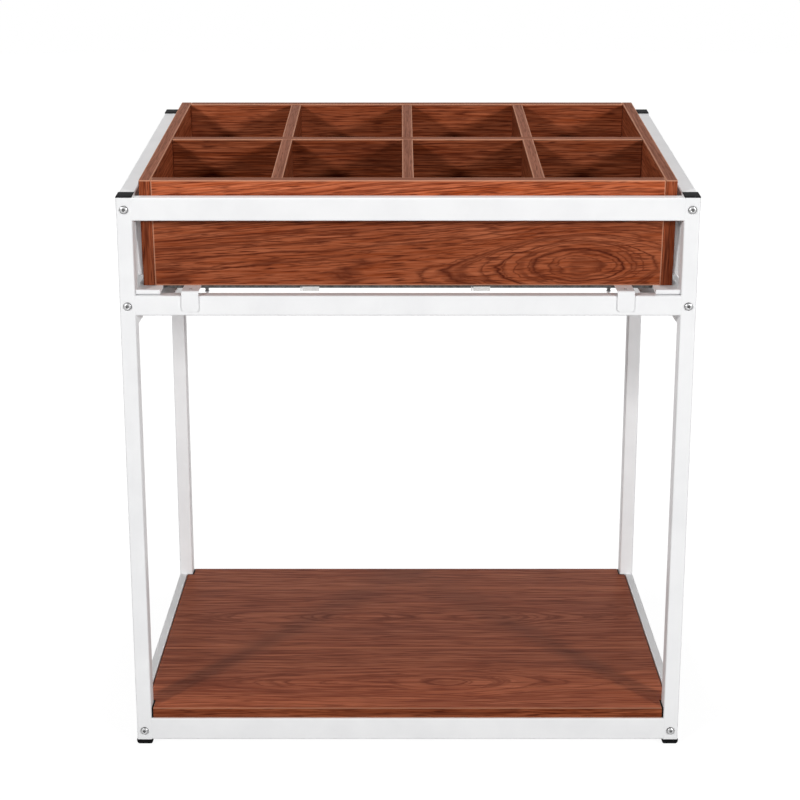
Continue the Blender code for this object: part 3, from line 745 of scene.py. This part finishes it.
@made_once("walnut_edge_band")
def edge_band(name):
    """Band glued on the rims, in two browns with fine lines, and a pale line, partly painted highlight, on
    both edges.
    """
    boards = bpy.context.scene.rack_boards
    material, graph, shader = new_material(name)
    print_settings = {
        "Grain": graph.grain_map(),
        "Plank": 0.9,
        "Heart": 0.02,
        "Tips": 0.01,
        "Rings": 150.0,
        "Fibres": FINE_FIBRES,
        "Dark": opaque(boards.band_dark),
        "Shade": opaque(boards.band_dark),
        "Middle": opaque(boards.band_light),
        "Light": opaque(boards.band_light),
    }
    printed = graph.group(laminate_group(), print_settings)
    dress_board(graph, shader, printed["Colour"], printed["Height"], roughness=(0.56, 0.44), relief=0.2)
    shader["Specular IOR Level"].default_value = 0.02
    return material


@made_once("white_powder_coat_finish")
def powder_coat(name):
    """White powder coat: faint orange-peel relief and mottling."""
    steel = bpy.context.scene.rack_steel
    material, graph, shader = new_material(name)
    texture = textured(graph, grain_size=0.0011, mottle_size=0.06)
    colour = graph.mix(texture["Mottle"], opaque(steel.coat_shade), opaque(steel.coat))
    roughness = graph.spread(texture["Mottle"], 0.0, 1.0, 0.48, 0.40)
    dress(graph, shader, colour, roughness, texture["Height"], relief=0.10, depth=0.0002)
    shader["Specular IOR Level"].default_value = 0.4
    return material


@made_once("moulded_black_plastic")
def black_plastic(name):
    """Moulded black plastic with a fine spark-eroded texture."""
    fixings = bpy.context.scene.rack_fixings
    material, graph, shader = new_material(name)
    texture = textured(graph, grain_size=0.0007, mottle_size=0.012)
    colour = graph.mix(texture["Mottle"], opaque(fixings.plastic), opaque(fixings.plastic_worn))
    roughness = graph.spread(texture["Height"], 0.2, 0.8, 0.38, 0.56)
    dress(graph, shader, colour, roughness, texture["Height"], relief=0.25, depth=0.0002)
    shader["Specular IOR Level"].default_value = 0.015
    return material


def bare_steel(name, metal, roughness, metallic=1.0, stain=0.0):
    """Uncoated steel, stained in patches, with painted shade where the edge mark says so."""
    rougher = 0.12
    material, graph, shader = new_material(name)
    texture = textured(graph, grain_size=0.0005, mottle_size=0.006)
    # Painted shade: the edge mark darkens recesses, rims and edges, dappled by the mottle
    painted_shade_mask = graph.math("MULTIPLY", graph.edge_mark(), graph.spread(texture["Mottle"], 0.0, 1.0, 0.8, 1.0))
    stain_and_shade = graph.math("MAXIMUM", painted_shade_mask, graph.math("MULTIPLY", texture["Mottle"], stain))
    colour = graph.mix(stain_and_shade, opaque(metal), opaque(bpy.context.scene.rack_fixings.painted_shade))
    varied = graph.spread(texture["Mottle"], 0.0, 1.0, roughness, roughness + rougher)
    dress(graph, shader, colour, varied, texture["Height"], relief=0.06, depth=0.0001)
    shader["Metallic"].default_value = metallic
    return material


@made_once("bright_plated_steel")
def plated_steel(name):
    """Bright plating of the bolts, screws and studs."""
    return bare_steel(name, bpy.context.scene.rack_fixings.steel, roughness=0.22)


@made_once("mill_steel")
def mill_steel(name):
    """Dull rolled steel of the ledge."""
    metal = bpy.context.scene.rack_fixings.mill_steel
    return bare_steel(name, metal, roughness=0.42, metallic=0.2, stain=0.3)


@made_once("dull_zinc")
def dull_zinc(name):
    """Pale matt zinc of the spring clips."""
    metal = bpy.context.scene.rack_fixings.zinc
    return bare_steel(name, metal, roughness=0.5, metallic=0.2, stain=0.1)


# Steel stand


class RACK_OT_legs(bpy.types.Operator):
    """Make the four tube legs, cut on the slope at the top"""

    bl_idname = "rack.legs"
    bl_label = "Legs"

    def execute(self, context):
        steel = context.scene.rack_steel
        for corner in CORNERS:
            node = f"leg_{corner}"
            low, high = node_box(node)
            middle = (low + high) / 2
            crown = high[2] - SLOPE_RISE * (high[1] - middle[1])
            outline = rounded_outline(low[:2], high[:2], steel.corner)
            points, faces, mark = plate(outline, low[2], crown, steel.sheet_ease)
            sloping = points[:, 2] > middle[2]
            points[:, 2] += np.where(sloping, SLOPE_RISE * (points[:, 1] - middle[1]), 0.0)
            put_coated(node, (points, faces, mark))
        return {"FINISHED"}


class RACK_OT_cross_rails(bpy.types.Operator):
    """Make the six rails between the left and right legs, with the welds at their ends"""

    bl_idname = "rack.cross_rails"
    bl_label = "Cross Rails"

    def execute(self, context):
        steel = context.scene.rack_steel
        for level in LEVELS:
            for end in ENDS:
                node = f"{level}_rail_{end}"
                low, high = node_box(node, RUN_X)
                outline = rounded_outline(low[:2], high[:2], steel.corner)
                shape = plate(outline, low[2] - steel.weld, high[2] + steel.weld, steel.sheet_ease)
                put_coated(node, placed(shape, RUN_X))
        return {"FINISHED"}


class RACK_OT_side_rails(bpy.types.Operator):
    """Make the six rails between the front and rear legs; the top ones follow the slope"""

    bl_idname = "rack.side_rails"
    bl_label = "Side Rails"

    def execute(self, context):
        steel = context.scene.rack_steel
        for side in SIDES:
            tube_low, tube_high = node_box(f"top_rail_{side}")
            for level in LEVELS:
                node = f"{level}_rail_{side}"
                rise = SLOPE_RISE if level == "top" else 0.0
                points = levelled(node_points(node), rise)
                in_tube = (points[:, 0] > tube_low[0] - TINY) & (points[:, 0] < tube_high[0] + TINY)
                low, high = box_of(points[in_tube])
                outline = rounded_outline((low @ RUN_Y.T)[:2], (high @ RUN_Y.T)[:2], steel.corner)
                shape = placed(plate(outline, low[1], high[1], steel.sheet_ease), RUN_Y)
                if not in_tube.all():
                    shape = joined(shape, self.corner_plate(points[~in_tube], low, high, steel.sheet_ease))
                put_coated(node, (levelled(shape[0], -rise), *shape[1:]))
        return {"FINISHED"}

    def corner_plate(self, points, tube_low, tube_high, ease):
        """The plate from its free edge to the tube's nearer face, let into it by the ease."""
        low, high = box_of(points)
        low[0] = min(low[0], tube_high[0] - ease)
        high[0] = max(high[0], tube_low[0] + ease)
        return eased_box(low, high, ease)


class RACK_OT_caps(bpy.types.Operator):
    """Make the moulded caps in the tops of the legs"""

    bl_idname = "rack.caps"
    bl_label = "Leg Caps"

    def execute(self, context):
        fixings = context.scene.rack_fixings
        ease, inset = fixings.plastic_ease, fixings.plug_inset
        for corner in CORNERS:
            node = f"cap_{corner}"
            middle_y = sum(node_box(node))[1] / 2
            low, high = box_of(levelled(node_points(node), SLOPE_RISE, middle_y))
            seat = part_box(f"leg_{corner}")[1].z - SLOPE_RISE * (high[1] - middle_y)
            points, faces, mark = eased_box((low[0], low[1], seat), high, ease, spans=FACE_SPANS)
            across = 2 * (points[:, :2] - (low + high)[:2] / 2) / (high - low)[:2]
            sunk = fixings.cap_crown * (1 - np.clip(1 - across**2, 0, 1).prod(axis=1))
            points[:, 2] -= np.where(points[:, 2] > high[2] - TINY, sunk, 0.0)
            plug = eased_box(low + (inset, inset, 0), high - (inset, inset, 2 * ease), ease)
            points, faces, mark = joined((points, faces, mark), plug)
            put_moulded(node, (levelled(points, -SLOPE_RISE, middle_y), faces, mark))
        return {"FINISHED"}


class RACK_OT_feet(bpy.types.Operator):
    """Make the tapered plastic feet in the ends of the legs"""

    bl_idname = "rack.feet"
    bl_label = "Feet"

    def execute(self, context):
        fixings = context.scene.rack_fixings
        ease, inset = fixings.foot_ease, fixings.plug_inset
        plug_ease = ease / 3
        fullness = 3
        for corner in CORNERS:
            node = f"foot_{corner}"
            points = node_points(node)
            low, high = box_of(points)
            middle = (low + high) / 2
            sole_low, sole_high = box_of(points[points[:, 2] < low[2] + TINY])
            taper = 1 - (sole_high - sole_low)[:2] / (high - low)[:2]
            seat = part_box(f"leg_{corner}")[0].z - fixings.seat
            brim = np.array((fixings.foot_brim, fixings.foot_brim, 0.0))
            top = (*(high + brim)[:2], seat + ease)
            points, faces, mark = eased_box(low - brim, top, ease, spans=FACE_SPANS)
            points[:, 2] = np.minimum(points[:, 2], seat)
            share = np.clip((seat - points[:, 2]) / (seat - low[2]), 0, 1)[:, None] ** fullness
            points[:, :2] = middle[:2] + (points[:, :2] - middle[:2]) * (1 - taper * share)
            plug_low = (low[0] + inset, low[1] + inset, seat - ease)
            plug = eased_box(plug_low, high - (inset, inset, 0), plug_ease)
            put_moulded(node, joined((points, faces, mark), plug))
        return {"FINISHED"}


class RACK_OT_bolts(bpy.types.Operator):
    """Make the button-head bolts with hexagon sockets"""

    bl_idname = "rack.bolts"
    bl_label = "Frame Bolts"

    def execute(self, context):
        fixings = context.scene.rack_fixings
        for end, axes in zip(ENDS, (FRONTWARDS, REARWARDS)):
            for level in LEVELS:
                for side in SIDES:
                    self.make_bolt(f"bolt_{level}_{end}_{side}", f"leg_{end}_{side}", axes, fixings)
        return {"FINISHED"}

    def make_bolt(self, node, leg, axes, fixings):
        """A shank, a head whose side is a quarter of an ellipse, and a socket with six flats.

        Painted shade fills the socket and the head's foot; a painted dark reflection thins out up its side.
        """
        rim, socket_mouth, crown = 0.25, 1.18, 1.35
        # Painted shade and dark reflection on each ring up the head's side
        side_shade = (0.85, 0.85, 0.80, 0.70, 0.40, 0.10, 0.0, 0.0)
        shank, flat, seat = fixings.shank / 2, fixings.socket / 2, fixings.seat
        low, high = node_box(node, axes)
        head = (high[0] - low[0]) / 2
        face = node_box(leg, axes)[1][2]
        tall = high[2] - face
        profile = [(shank, low[2] - face, 0, 0.0), (shank, seat, 0, 0.0), (head, seat, 0, 1.0)]
        for turn, painted_shade in zip(quarter_turn(len(side_shade)), side_shade):
            reach = crown * flat + (head - crown * flat) * math.cos(turn)
            profile.append((reach, tall * (rim + (1 - rim) * math.sin(turn)), 0, painted_shade))
        # The socket's rings carry painted shade
        profile += [
            (socket_mouth * flat, tall, 0, 0.25),
            (flat, 0.93 * tall, 6, 0.8),
            (flat, 0.45 * tall, 6, 1.0),
            (0.5 * flat, 0.36 * tall, 0, 0.9),
        ]
        put_steel(node, stood(turned(profile), low, high, face, axes), plated_steel())


# Tray supports


class RACK_OT_runners(bpy.types.Operator):
    """Make the flat bars that carry the tray, each with an upturned front lip"""

    bl_idname = "rack.runners"
    bl_label = "Tray Runners"

    def execute(self, context):
        bar, lip, bend_steps = 0.004, 0.003, 5
        bend = quarter_turn(bend_steps)[::-1]
        for side in SIDES:
            node = f"runner_{side}"
            low, high = node_box(node, ACROSS_SLOPE_AXES)
            heel = low[:2] + bar * np.stack([1 - np.sin(bend), 1 - np.cos(bend)], axis=1)
            top, inside = low[1] + bar, low[0] + lip
            rest = [(high[0], low[1]), (high[0], top), (inside, top), (inside, high[1]), (low[0], high[1])]
            outline = np.concatenate([heel, rest])
            shape = plate(outline, low[2], high[2], context.scene.rack_steel.sheet_ease)
            put_coated(node, placed(shape, ACROSS_SLOPE_AXES))
        return {"FINISHED"}


class RACK_OT_guards(bpy.types.Operator):
    """Make the thin plates under the top side rails, with both ends turned in"""

    bl_idname = "rack.guards"
    bl_label = "Side Guards"

    def execute(self, context):
        steel = context.scene.rack_steel
        ease = steel.sheet_ease
        for side, x_sign in zip(SIDES, (-1, 1)):
            node = f"side_guard_{side}"
            low, high = box_of(levelled(node_points(node), SLOPE_RISE))
            sheet = high[0] - low[0]
            left = low[0] - max(x_sign, 0) * steel.guard_lip
            right = high[0] - min(x_sign, 0) * steel.guard_lip
            front, rear = low[1] + steel.lip_setback, high[1] - steel.lip_setback
            front_lip = eased_box((left, front, low[2]), (right, front + sheet, high[2]), ease)
            rear_lip = eased_box((left, rear - sheet, low[2]), (right, rear, high[2]), ease)
            points, faces, mark = joined(eased_box(low, high, ease), front_lip, rear_lip)
            put_coated(node, (levelled(points, -SLOPE_RISE), faces, mark))
        return {"FINISHED"}


class RACK_OT_ledge(bpy.types.Operator):
    """Make the ledge under the tray's front, with its studs and spring clips"""

    bl_idname = "rack.ledge"
    bl_label = "Ledge"

    def execute(self, context):
        low, high = node_box("ledge", SLOPE_AXES)
        # Its rounded edges carry the edge mark, which the mill steel paints with shade
        shape = eased_box(low, high, context.scene.rack_steel.sheet_ease)
        put_steel("ledge", placed(shape, SLOPE_AXES), mill_steel())
        for side in SIDES:
            self.make_stud(f"ledge_stud_{side}")
            self.make_clip(f"ledge_clip_{side}")
        return {"FINISHED"}

    def make_stud(self, node):
        """A collar, a neck and a knob with a rounded end, which is a quarter of an ellipse."""
        collar, groove, dome, dome_steps = 0.0012, 0.0016, 0.72, 6
        low, high = node_box(node, SLOPE_DOWNWARDS)
        radius = (high[0] - low[0]) / 2
        length = high[2] - low[2]
        neck = 0.78 * radius
        # The last column paints shade at the collar's foot and down the neck under the knob
        profile = [
            (radius, 0.0, 0, 0.6),
            (radius, collar, 0, 0.0),
            (neck, groove, 0, 0.9),
            (neck, 0.5 * length, 0, 0.6),
            (radius, 0.56 * length, 0, 0.1),
        ]
        for turn in quarter_turn(dome_steps)[:-1]:
            profile.append((radius * math.cos(turn), length * (dome + (1 - dome) * math.sin(turn)), 0, 0.0))
        profile.append((0.12 * radius, length, 0, 0.0))
        shape = stood(turned(profile, steps=32), low, high, low[2], SLOPE_DOWNWARDS)
        put_steel(node, shape, plated_steel())

    def make_clip(self, node):
        """A flat tongue, and a pin at its end."""
        pin_reach, tongue_ease, pin_rim = 0.003, 0.0005, 0.0006
        low, high = node_box(node, SLOPE_AXES)
        points, faces, mark = eased_box(low + (pin_reach, 0, 0), high, tongue_ease)
        tongue = points, faces, np.zeros_like(mark)
        roll = (high[1] - low[1]) / 2
        # The last column paints shade round both ends of the pin
        profile = [
            (roll, low[2], 0, 0.6),
            (roll, low[2] + pin_rim, 0, 0.0),
            (roll, high[2] - pin_rim, 0, 0.0),
            (0.7 * roll, high[2], 0, 0.4),
        ]
        pin = placed(turned(profile, steps=24), origin=(low[0] + roll, low[1] + roll, 0.0))
        put_steel(node, placed(joined(tongue, pin), SLOPE_AXES), dull_zinc())


class RACK_OT_hooks(bpy.types.Operator):
    """Make the bent straps that hang the ledge on the front mid rail, with their rests and screws"""

    bl_idname = "rack.hooks"
    bl_label = "Hooks"

    def execute(self, context):
        steel = context.scene.rack_steel
        thick, bend = steel.strap, steel.bend
        tip_round, strap_ease = 0.005, 0.0009
        turn = quarter_turn(BEND_STEPS)
        for side in SIDES:
            node = f"hook_{side}"
            low, high = node_box(node)
            half = (high[0] - low[0]) / 2
            level, front = high[2] - thick / 2, low[1] + thick / 2
            arc = np.stack([front + bend * (1 - np.sin(turn)), level - bend * (1 - np.cos(turn))], axis=1)
            above_tip = tip_round * (1 - np.cos(turn[::-1]))
            drop = np.stack([np.full_like(turn, front), low[2] + above_tip], axis=1)
            path = np.concatenate([[(high[1], level)], arc, drop])
            from_tip = np.concatenate([np.full(1 + len(arc), tip_round), drop[:, 1] - low[2]])
            half_width = half - tip_round + np.sqrt(tip_round**2 - (tip_round - from_tip) ** 2)
            strap = swept_strap(path, half_width, thick, strap_ease)
            middle_x = (low[0] + high[0]) / 2
            put_coated(node, placed(joined(strap, self.rest(level)), origin=(middle_x, 0.0, 0.0)))
            self.make_screw(f"hook_screw_{side}")
        return {"FINISHED"}

    def rest(self, top):
        """The block between a strap and the rail that it hangs on."""
        half_x, half_y, gap, ease = 0.005, 0.0045, 0.0003, 0.0008
        rail_low, rail_high = node_box("mid_rail_front")
        middle_y = (rail_low[1] + rail_high[1]) / 2
        low = (-half_x, middle_y - half_y, rail_high[2] + gap)
        return eased_box(low, (half_x, middle_y + half_y, top), ease)

    def make_screw(self, node):
        """A head whose side is a quarter of an ellipse, and a socket with six flats."""
        rim, crown, side_steps = 0.1, 0.45, 6
        low, high = node_box(node)
        radius, tall = (high[0] - low[0]) / 2, high[2] - low[2]
        # The last column paints shade round the head's foot and in the socket
        profile = [(radius, 0.0, 0, 1.0), (radius, rim * tall, 0, 0.8)]
        for turn in quarter_turn(side_steps)[:-1]:
            reach = radius * (crown + (1 - crown) * math.cos(turn))
            profile.append((reach, tall * (rim + (1 - rim) * math.sin(turn)), 0, 0.0))
        profile += [(0.42 * radius, tall, 0, 0.2), (0.36 * radius, 0.4 * tall, 6, 1.0)]
        put_steel(node, stood(turned(profile, steps=36), low, high, low[2]), plated_steel())


# Boards


class RACK_OT_shelf(bpy.types.Operator):
    """Make the lower shelf, notched round the legs, and the black strips in its notches"""

    bl_idname = "rack.shelf"
    bl_label = "Shelf"

    def execute(self, context):
        boards = context.scene.rack_boards
        leg_gap, front_line = 0.0028, 0.6
        low, high = node_box("shelf")
        leg_low, leg_high = node_box("leg_front_right")
        notch = np.array((leg_low[0] - leg_gap, -leg_high[1] - leg_gap))
        reach = high[:2]
        corner = np.array([(reach[0], notch[1]), notch, (notch[0], reach[1])])
        corners = [corner * sign if sign.prod() > 0 else (corner * sign)[::-1] for sign in QUARTERS]
        outline = np.concatenate(corners)
        points, faces, mark = plate(outline, low[2], high[2], boards.ease, boards.pale_width)
        front = points[:, 1] < low[1] + boards.ease + boards.pale_width + TINY
        plank, joint_y = 0.287, -0.073
        first_joint = joint_y - 2 * plank
        second_heart, third_heart = 1.5 * plank, 2.5 * plank
        # Painted shade: a little behind its front edge the shelf is printed darker, for the tray's shadow
        painted_shade_start = low[1] - first_joint + 0.02
        material = walnut(
            "walnut_shelf_laminate",
            plank,
            rings=90.0,
            heart=(0.0, 1.0, 0.05, 0.05),
            tips=0.03,
            eyes=[
                ((0.09, second_heart), (0.15, 0.10), 0.018),
                ((-0.18, second_heart), (0.09, 0.05), 0.008),
                ((0.18, third_heart), (0.13, 0.08), 0.012),
                ((-0.08, third_heart), (0.10, 0.08), 0.014),
            ],
            painted_light_and_shade=(painted_shade_start, 0.16, 0.70),
            # Painted light: the whole print is lightened for the light from above that the tray keeps off
            tone=1.42,
            line=0.65,
            fibres=120.0,
        )
        # The pale line, partly a painted highlight, is kept to the shelf's front, at 0.6 strength
        shape = points, faces, front_line * mark * front
        piece = put_in("walnut_shelf", shape, material, "stand", ["shelf"])
        lay_grain(piece, WORLD_AXES, (0, 1, 2), (0.0, first_joint, 0.0), inner_walnut(), 1)
        self.make_notch_strips(notch, reach, low[2], high[2])
        return {"FINISHED"}

    def make_notch_strips(self, notch, reach, bottom, top):
        """Strips of constant thickness carried along each notch's two faces."""
        clear, thick, below_face, ease = 0.0003, 0.0022, 0.0005, 0.0004
        inner = notch + clear
        outer = inner + thick
        along_x = [(reach[0], inner[1]), (reach[0], outer[1]), outer]
        along_y = [(outer[0], reach[1]), (inner[0], reach[1]), inner]
        corner = np.array(along_x + along_y)
        for end, y_sign in zip(ENDS, (-1, 1)):
            for side, x_sign in zip(SIDES, (-1, 1)):
                outline = corner * (x_sign, y_sign)
                if x_sign * y_sign < 0:
                    outline = outline[::-1]
                shape = plate(outline, bottom + below_face, top - below_face, ease)
                put_in(f"notch_strip_{end}_{side}", shape, black_plastic(), "stand")


class RACK_OT_shelf_edges(bpy.types.Operator):
    """Make the strips on the bottom side rails, which stand beside the shelf and level with its top"""

    bl_idname = "rack.shelf_edges"
    bl_label = "Shelf Edges"

    def execute(self, context):
        steel = context.scene.rack_steel
        for side, axes in zip(SIDES, (LEFTWARDS, RUN_X)):
            rail_low, rail_high = node_box(f"bottom_rail_{side}", axes)
            shelf_high = node_box("shelf", axes)[1]
            low = (rail_low[0], rail_high[1] - steel.corner, shelf_high[2] + steel.edge_gap)
            high = (rail_high[0], shelf_high[1], rail_high[2])
            shape = placed(eased_box(low, high, steel.edge_ease), axes)
            put_in(f"coated_shelf_edge_{side}", shape, powder_coat(), "stand")
        return {"FINISHED"}


class RACK_OT_tray(bpy.types.Operator):
    """Make the tray's four panels and its bottom board"""

    bl_idname = "rack.tray"
    bl_label = "Tray"

    def execute(self, context):
        boards = context.scene.rack_boards
        plank, heart_up, eye_along, lit_strip_up = 0.60, 0.033, 0.270, 0.10
        heart_line = plank / 2
        front = walnut(
            "walnut_front_laminate",
            plank,
            rings=135.0,
            heart=(-0.45, 0.30, 0.05, 0.10),
            phase=0.40,
            eyes=[
                ((eye_along, heart_line), (0.132, 0.092), 0.022),
                ((0.070, heart_line - 0.02), (0.07, 0.04), 0.004),
            ],
            lean=(0.045, eye_along),
            # Painted light: above the top rail the front is printed lighter, standing in for the rail's
            # shade below
            painted_light_and_shade=(lit_strip_up + heart_line - heart_up, 0.02, 1.65),
            tone=0.84,
        )
        sides = walnut("walnut_side_laminate", ONE_PLANK, STRAIGHT_RINGS)
        lengthwise, sidewise = (0, 2, 1), (1, 2, 0)
        # Each board starts at its own place in the print, so that no two look alike
        panels = [
            ("tray_front", front, lengthwise, (0.0, 0.0, heart_up - heart_line)),
            ("tray_back", sides, lengthwise, (1.7, 0.1, -0.27)),
            ("tray_left", sides, sidewise, (0.0, 2.9, -0.51)),
            ("tray_right", sides, sidewise, (0.3, 4.3, -0.75)),
            ("tray_bottom", inner_walnut(), (0, 1, 2), (5.1, 0.2, 0.0)),
        ]
        reach = boards.ease + boards.pale_width
        for node, material, order, start in panels:
            low, high = node_box(node, SLOPE_AXES)
            shape = eased_box(low, high, boards.ease, boards.pale_width)
            shape = mark_rims(shape, high[2], reach, low[1] if node == "tray_front" else None)
            start = np.array(start) + (0.0, low[1], low[2])
            put_board(node, placed(shape, SLOPE_AXES), material, "tray", order, start)
        return {"FINISHED"}


class RACK_OT_dividers(bpy.types.Operator):
    """Make the divider grid, halved where the boards cross"""

    bl_idname = "rack.dividers"
    bl_label = "Dividers"

    def execute(self, context):
        shorts = [f"divider_short_{number}" for number in (1, 2, 3)]
        slack = 0.00025
        boards = context.scene.rack_boards
        rim = 2 * (boards.ease + boards.pale_width)
        long_low, long_high = node_box("divider_long", SLOPE_AXES)
        bottom, top = long_low[2], long_high[2]
        middle = (bottom + top) / 2
        comb = [(long_low[0], bottom)]
        for node in shorts:
            low, high = node_box(node, SLOPE_AXES)
            left, right = low[0] - slack, high[0] + slack
            comb += [(left, bottom), (left, middle), (right, middle), (right, bottom)]
        comb += [(long_high[0], bottom), (long_high[0], top - rim), (long_high[0], top)]
        comb += [(long_low[0], top), (long_low[0], top - rim)]
        axes = np.stack([SLOPE_AXES[0], SLOPE_AXES[2], -SLOPE_AXES[1]])
        # As on the tray, each board starts at its own place in the print
        start = (3.3, long_low[1], bottom - 0.36)
        shape = self.cut_board(comb, -long_high[1], -long_low[1], top, axes, boards)
        put_board("divider_long", shape, inner_walnut(), "dividers", (0, 2, 1), start)
        near, far = long_low[1] - slack, long_high[1] + slack
        for number, node in enumerate(shorts):
            low, high = node_box(node, SLOPE_AXES)
            front, rear, top = low[1], high[1], high[2]
            below = long_high[2] - rim
            halved = [(front, low[2]), (rear, low[2]), (rear, below), (rear, top)]
            halved += [(far, top), (far, below), (far, middle), (near, middle), (near, below), (near, top)]
            halved += [(front, top), (front, below)]
            start = (low[0], 6.1 + 1.3 * number, low[2] - 0.24 - 0.2 * number)
            shape = self.cut_board(halved, low[0], high[0], top, ACROSS_SLOPE_AXES, boards)
            put_board(node, shape, inner_walnut(), "dividers", (1, 2, 0), start)
        return {"FINISHED"}

    def cut_board(self, outline, low, high, top, axes, boards):
        """An outline carried through a board's thickness, with the edge mark kept only beside its top."""
        points, faces, mark = plate(outline, low, high, boards.ease, boards.pale_width)
        beside_top = points[:, 1] > top - (boards.ease + boards.pale_width)
        return placed((points, faces, mark * beside_top), axes)


# Stage


class RACK_OT_stage(bpy.types.Operator):
    """Make the pale floor, the studio light and the camera"""

    bl_idname = "rack.stage"
    bl_label = "Stage"

    def execute(self, context):
        stage = context.scene.rack_stage
        context.scene.view_settings.view_transform = "Standard"
        self.make_floor(context.scene, stage)
        self.make_sky(context.scene, stage)
        for name, place, size, power, mirrored in LAMPS:
            self.make_lamp(context.scene, name, place, size, getattr(stage, power), mirrored)
        self.make_camera(context.scene, stage)
        return {"FINISHED"}

    def make_floor(self, scene, stage):
        """A disc of rings r(k), flat on the ground.

        Where it is seen it glows to white, a little less near the middle, and takes shadow on the rest.
        """
        hole, first_ring, ring_count, corners = 0.02, 0.2, 14, 64
        glow_near, glow_far, least_glow = 0.6, 2.2, 0.93
        radius = np.concatenate([[hole], np.geomspace(first_ring, stage.floor_radius, ring_count)])
        angle = np.linspace(0, 2 * math.pi, corners, endpoint=False)
        points = np.zeros((len(radius), corners, 3))
        points[..., 0] = radius[:, None] * np.cos(angle)
        points[..., 1] = radius[:, None] * np.sin(angle)
        faces = grid_quads(len(radius), corners, closed=True)[:, ::-1].tolist()
        faces.append(list(range(corners)))
        mesh = bpy.data.meshes.new("floor")
        mesh.from_pydata(points.reshape(-1, 3).tolist(), [], faces)
        floor = bpy.data.objects.new("floor", mesh)
        scene.collection.objects.link(floor)
        material, graph, shader = new_material("pale_floor")
        distance = graph.vector("LENGTH", graph.object_place())
        seen = seen_rays(graph)
        graph.feed(shader["Base Color"], graph.mix(seen, opaque(stage.floor), opaque(stage.floor_seen)))
        glow = graph.spread(distance, glow_near, glow_far, least_glow, 1.0)
        graph.feed(shader["Emission Strength"], graph.math("MULTIPLY", seen, glow))
        shader["Emission Color"].default_value = WHITE
        shader["Roughness"].default_value = 0.8
        shader["Specular IOR Level"].default_value = 0.0
        mesh.materials.append(material)

    def make_sky(self, scene, stage):
        """Even light from all round, white where it is seen or mirrored."""
        world = bpy.data.worlds.new("studio")
        world.use_nodes = True
        graph = Graph(world.node_tree)
        background = world.node_tree.nodes["Background"].inputs
        graph.feed(background["Strength"], graph.spread(seen_rays(graph), 0.0, 1.0, stage.sky, 1.0))
        background["Color"].default_value = WHITE
        scene.world = world

    def make_lamp(self, scene, name, place, size, power, mirrored):
        """A soft rectangular lamp, turned so that its light falls on the middle of the rack."""
        lamp = bpy.data.lights.new(name, "AREA")
        lamp.shape = "RECTANGLE"
        lamp.size, lamp.size_y = size
        lamp.energy = power
        holder = bpy.data.objects.new(name, lamp)
        holder.location = place
        back = np.array(place) - LAMP_AIM
        flat = math.hypot(back[0], back[1])
        holder.rotation_euler = (math.atan2(flat, back[2]), 0.0, math.atan2(back[0], -back[1]))
        holder.visible_camera = False
        holder.visible_glossy = mirrored
        scene.collection.objects.link(holder)

    def make_camera(self, scene, stage):
        """The camera in front of the rack, looking a little down on it."""
        camera = bpy.data.cameras.new("camera")
        camera.lens = stage.lens
        camera.sensor_width = SENSOR_WIDTH
        camera.shift_y = CAMERA_SHIFT
        holder = bpy.data.objects.new("camera", camera)
        holder.location = CAMERA_PLACE
        holder.rotation_euler = (CAMERA_TILT, 0.0, 0.0)
        scene.collection.objects.link(holder)
        scene.camera = holder


def seen_rays(graph):
    """1 for rays from the camera or from a mirror-like or clear surface, else 0."""
    rays = graph.add("ShaderNodeLightPath").outputs
    mirrored = graph.math("MAXIMUM", rays["Is Glossy Ray"], rays["Is Transmission Ray"])
    return graph.math("MAXIMUM", rays["Is Camera Ray"], mirrored)


# Add-on


class RACK_PT_panel(bpy.types.Panel):
    """Lists the rack's settings and the operators that make its pieces"""

    bl_idname = "RACK_PT_panel"
    bl_label = "Display Rack"
    bl_space_type = "VIEW_3D"
    bl_region_type = "UI"
    bl_category = "Display Rack"

    def draw(self, context):
        for name, kind in SETTINGS.items():
            box = self.layout.box()
            for setting in kind.__annotations__:
                box.prop(getattr(context.scene, name), setting)
        for operator in OPERATORS:
            self.layout.operator(operator.bl_idname)


SETTINGS = {
    "rack_boards": RackBoards,
    "rack_steel": RackSteel,
    "rack_fixings": RackFixings,
    "rack_stage": RackStage,
}
OPERATORS = (
    RACK_OT_stage,
    RACK_OT_legs,
    RACK_OT_cross_rails,
    RACK_OT_side_rails,
    RACK_OT_caps,
    RACK_OT_feet,
    RACK_OT_bolts,
    RACK_OT_runners,
    RACK_OT_guards,
    RACK_OT_ledge,
    RACK_OT_hooks,
    RACK_OT_shelf,
    RACK_OT_shelf_edges,
    RACK_OT_tray,
    RACK_OT_dividers,
)


def register():
    """Register the classes and hang their settings on the scene."""
    for kind in (*SETTINGS.values(), *OPERATORS, RACK_PT_panel):
        bpy.utils.register_class(kind)
    for name, kind in SETTINGS.items():
        setattr(bpy.types.Scene, name, bpy.props.PointerProperty(type=kind))


def unregister():
    """Undo what register did, in the opposite order."""
    for name in SETTINGS:
        delattr(bpy.types.Scene, name)
    for kind in (RACK_PT_panel, *reversed(OPERATORS), *SETTINGS.values()):
        bpy.utils.unregister_class(kind)


def main():
    """Make the stage and every piece."""
    register()
    for operator in OPERATORS:
        area, name = operator.bl_idname.split(".")
        getattr(getattr(bpy.ops, area), name)()


if __name__ == "__main__":
    main()
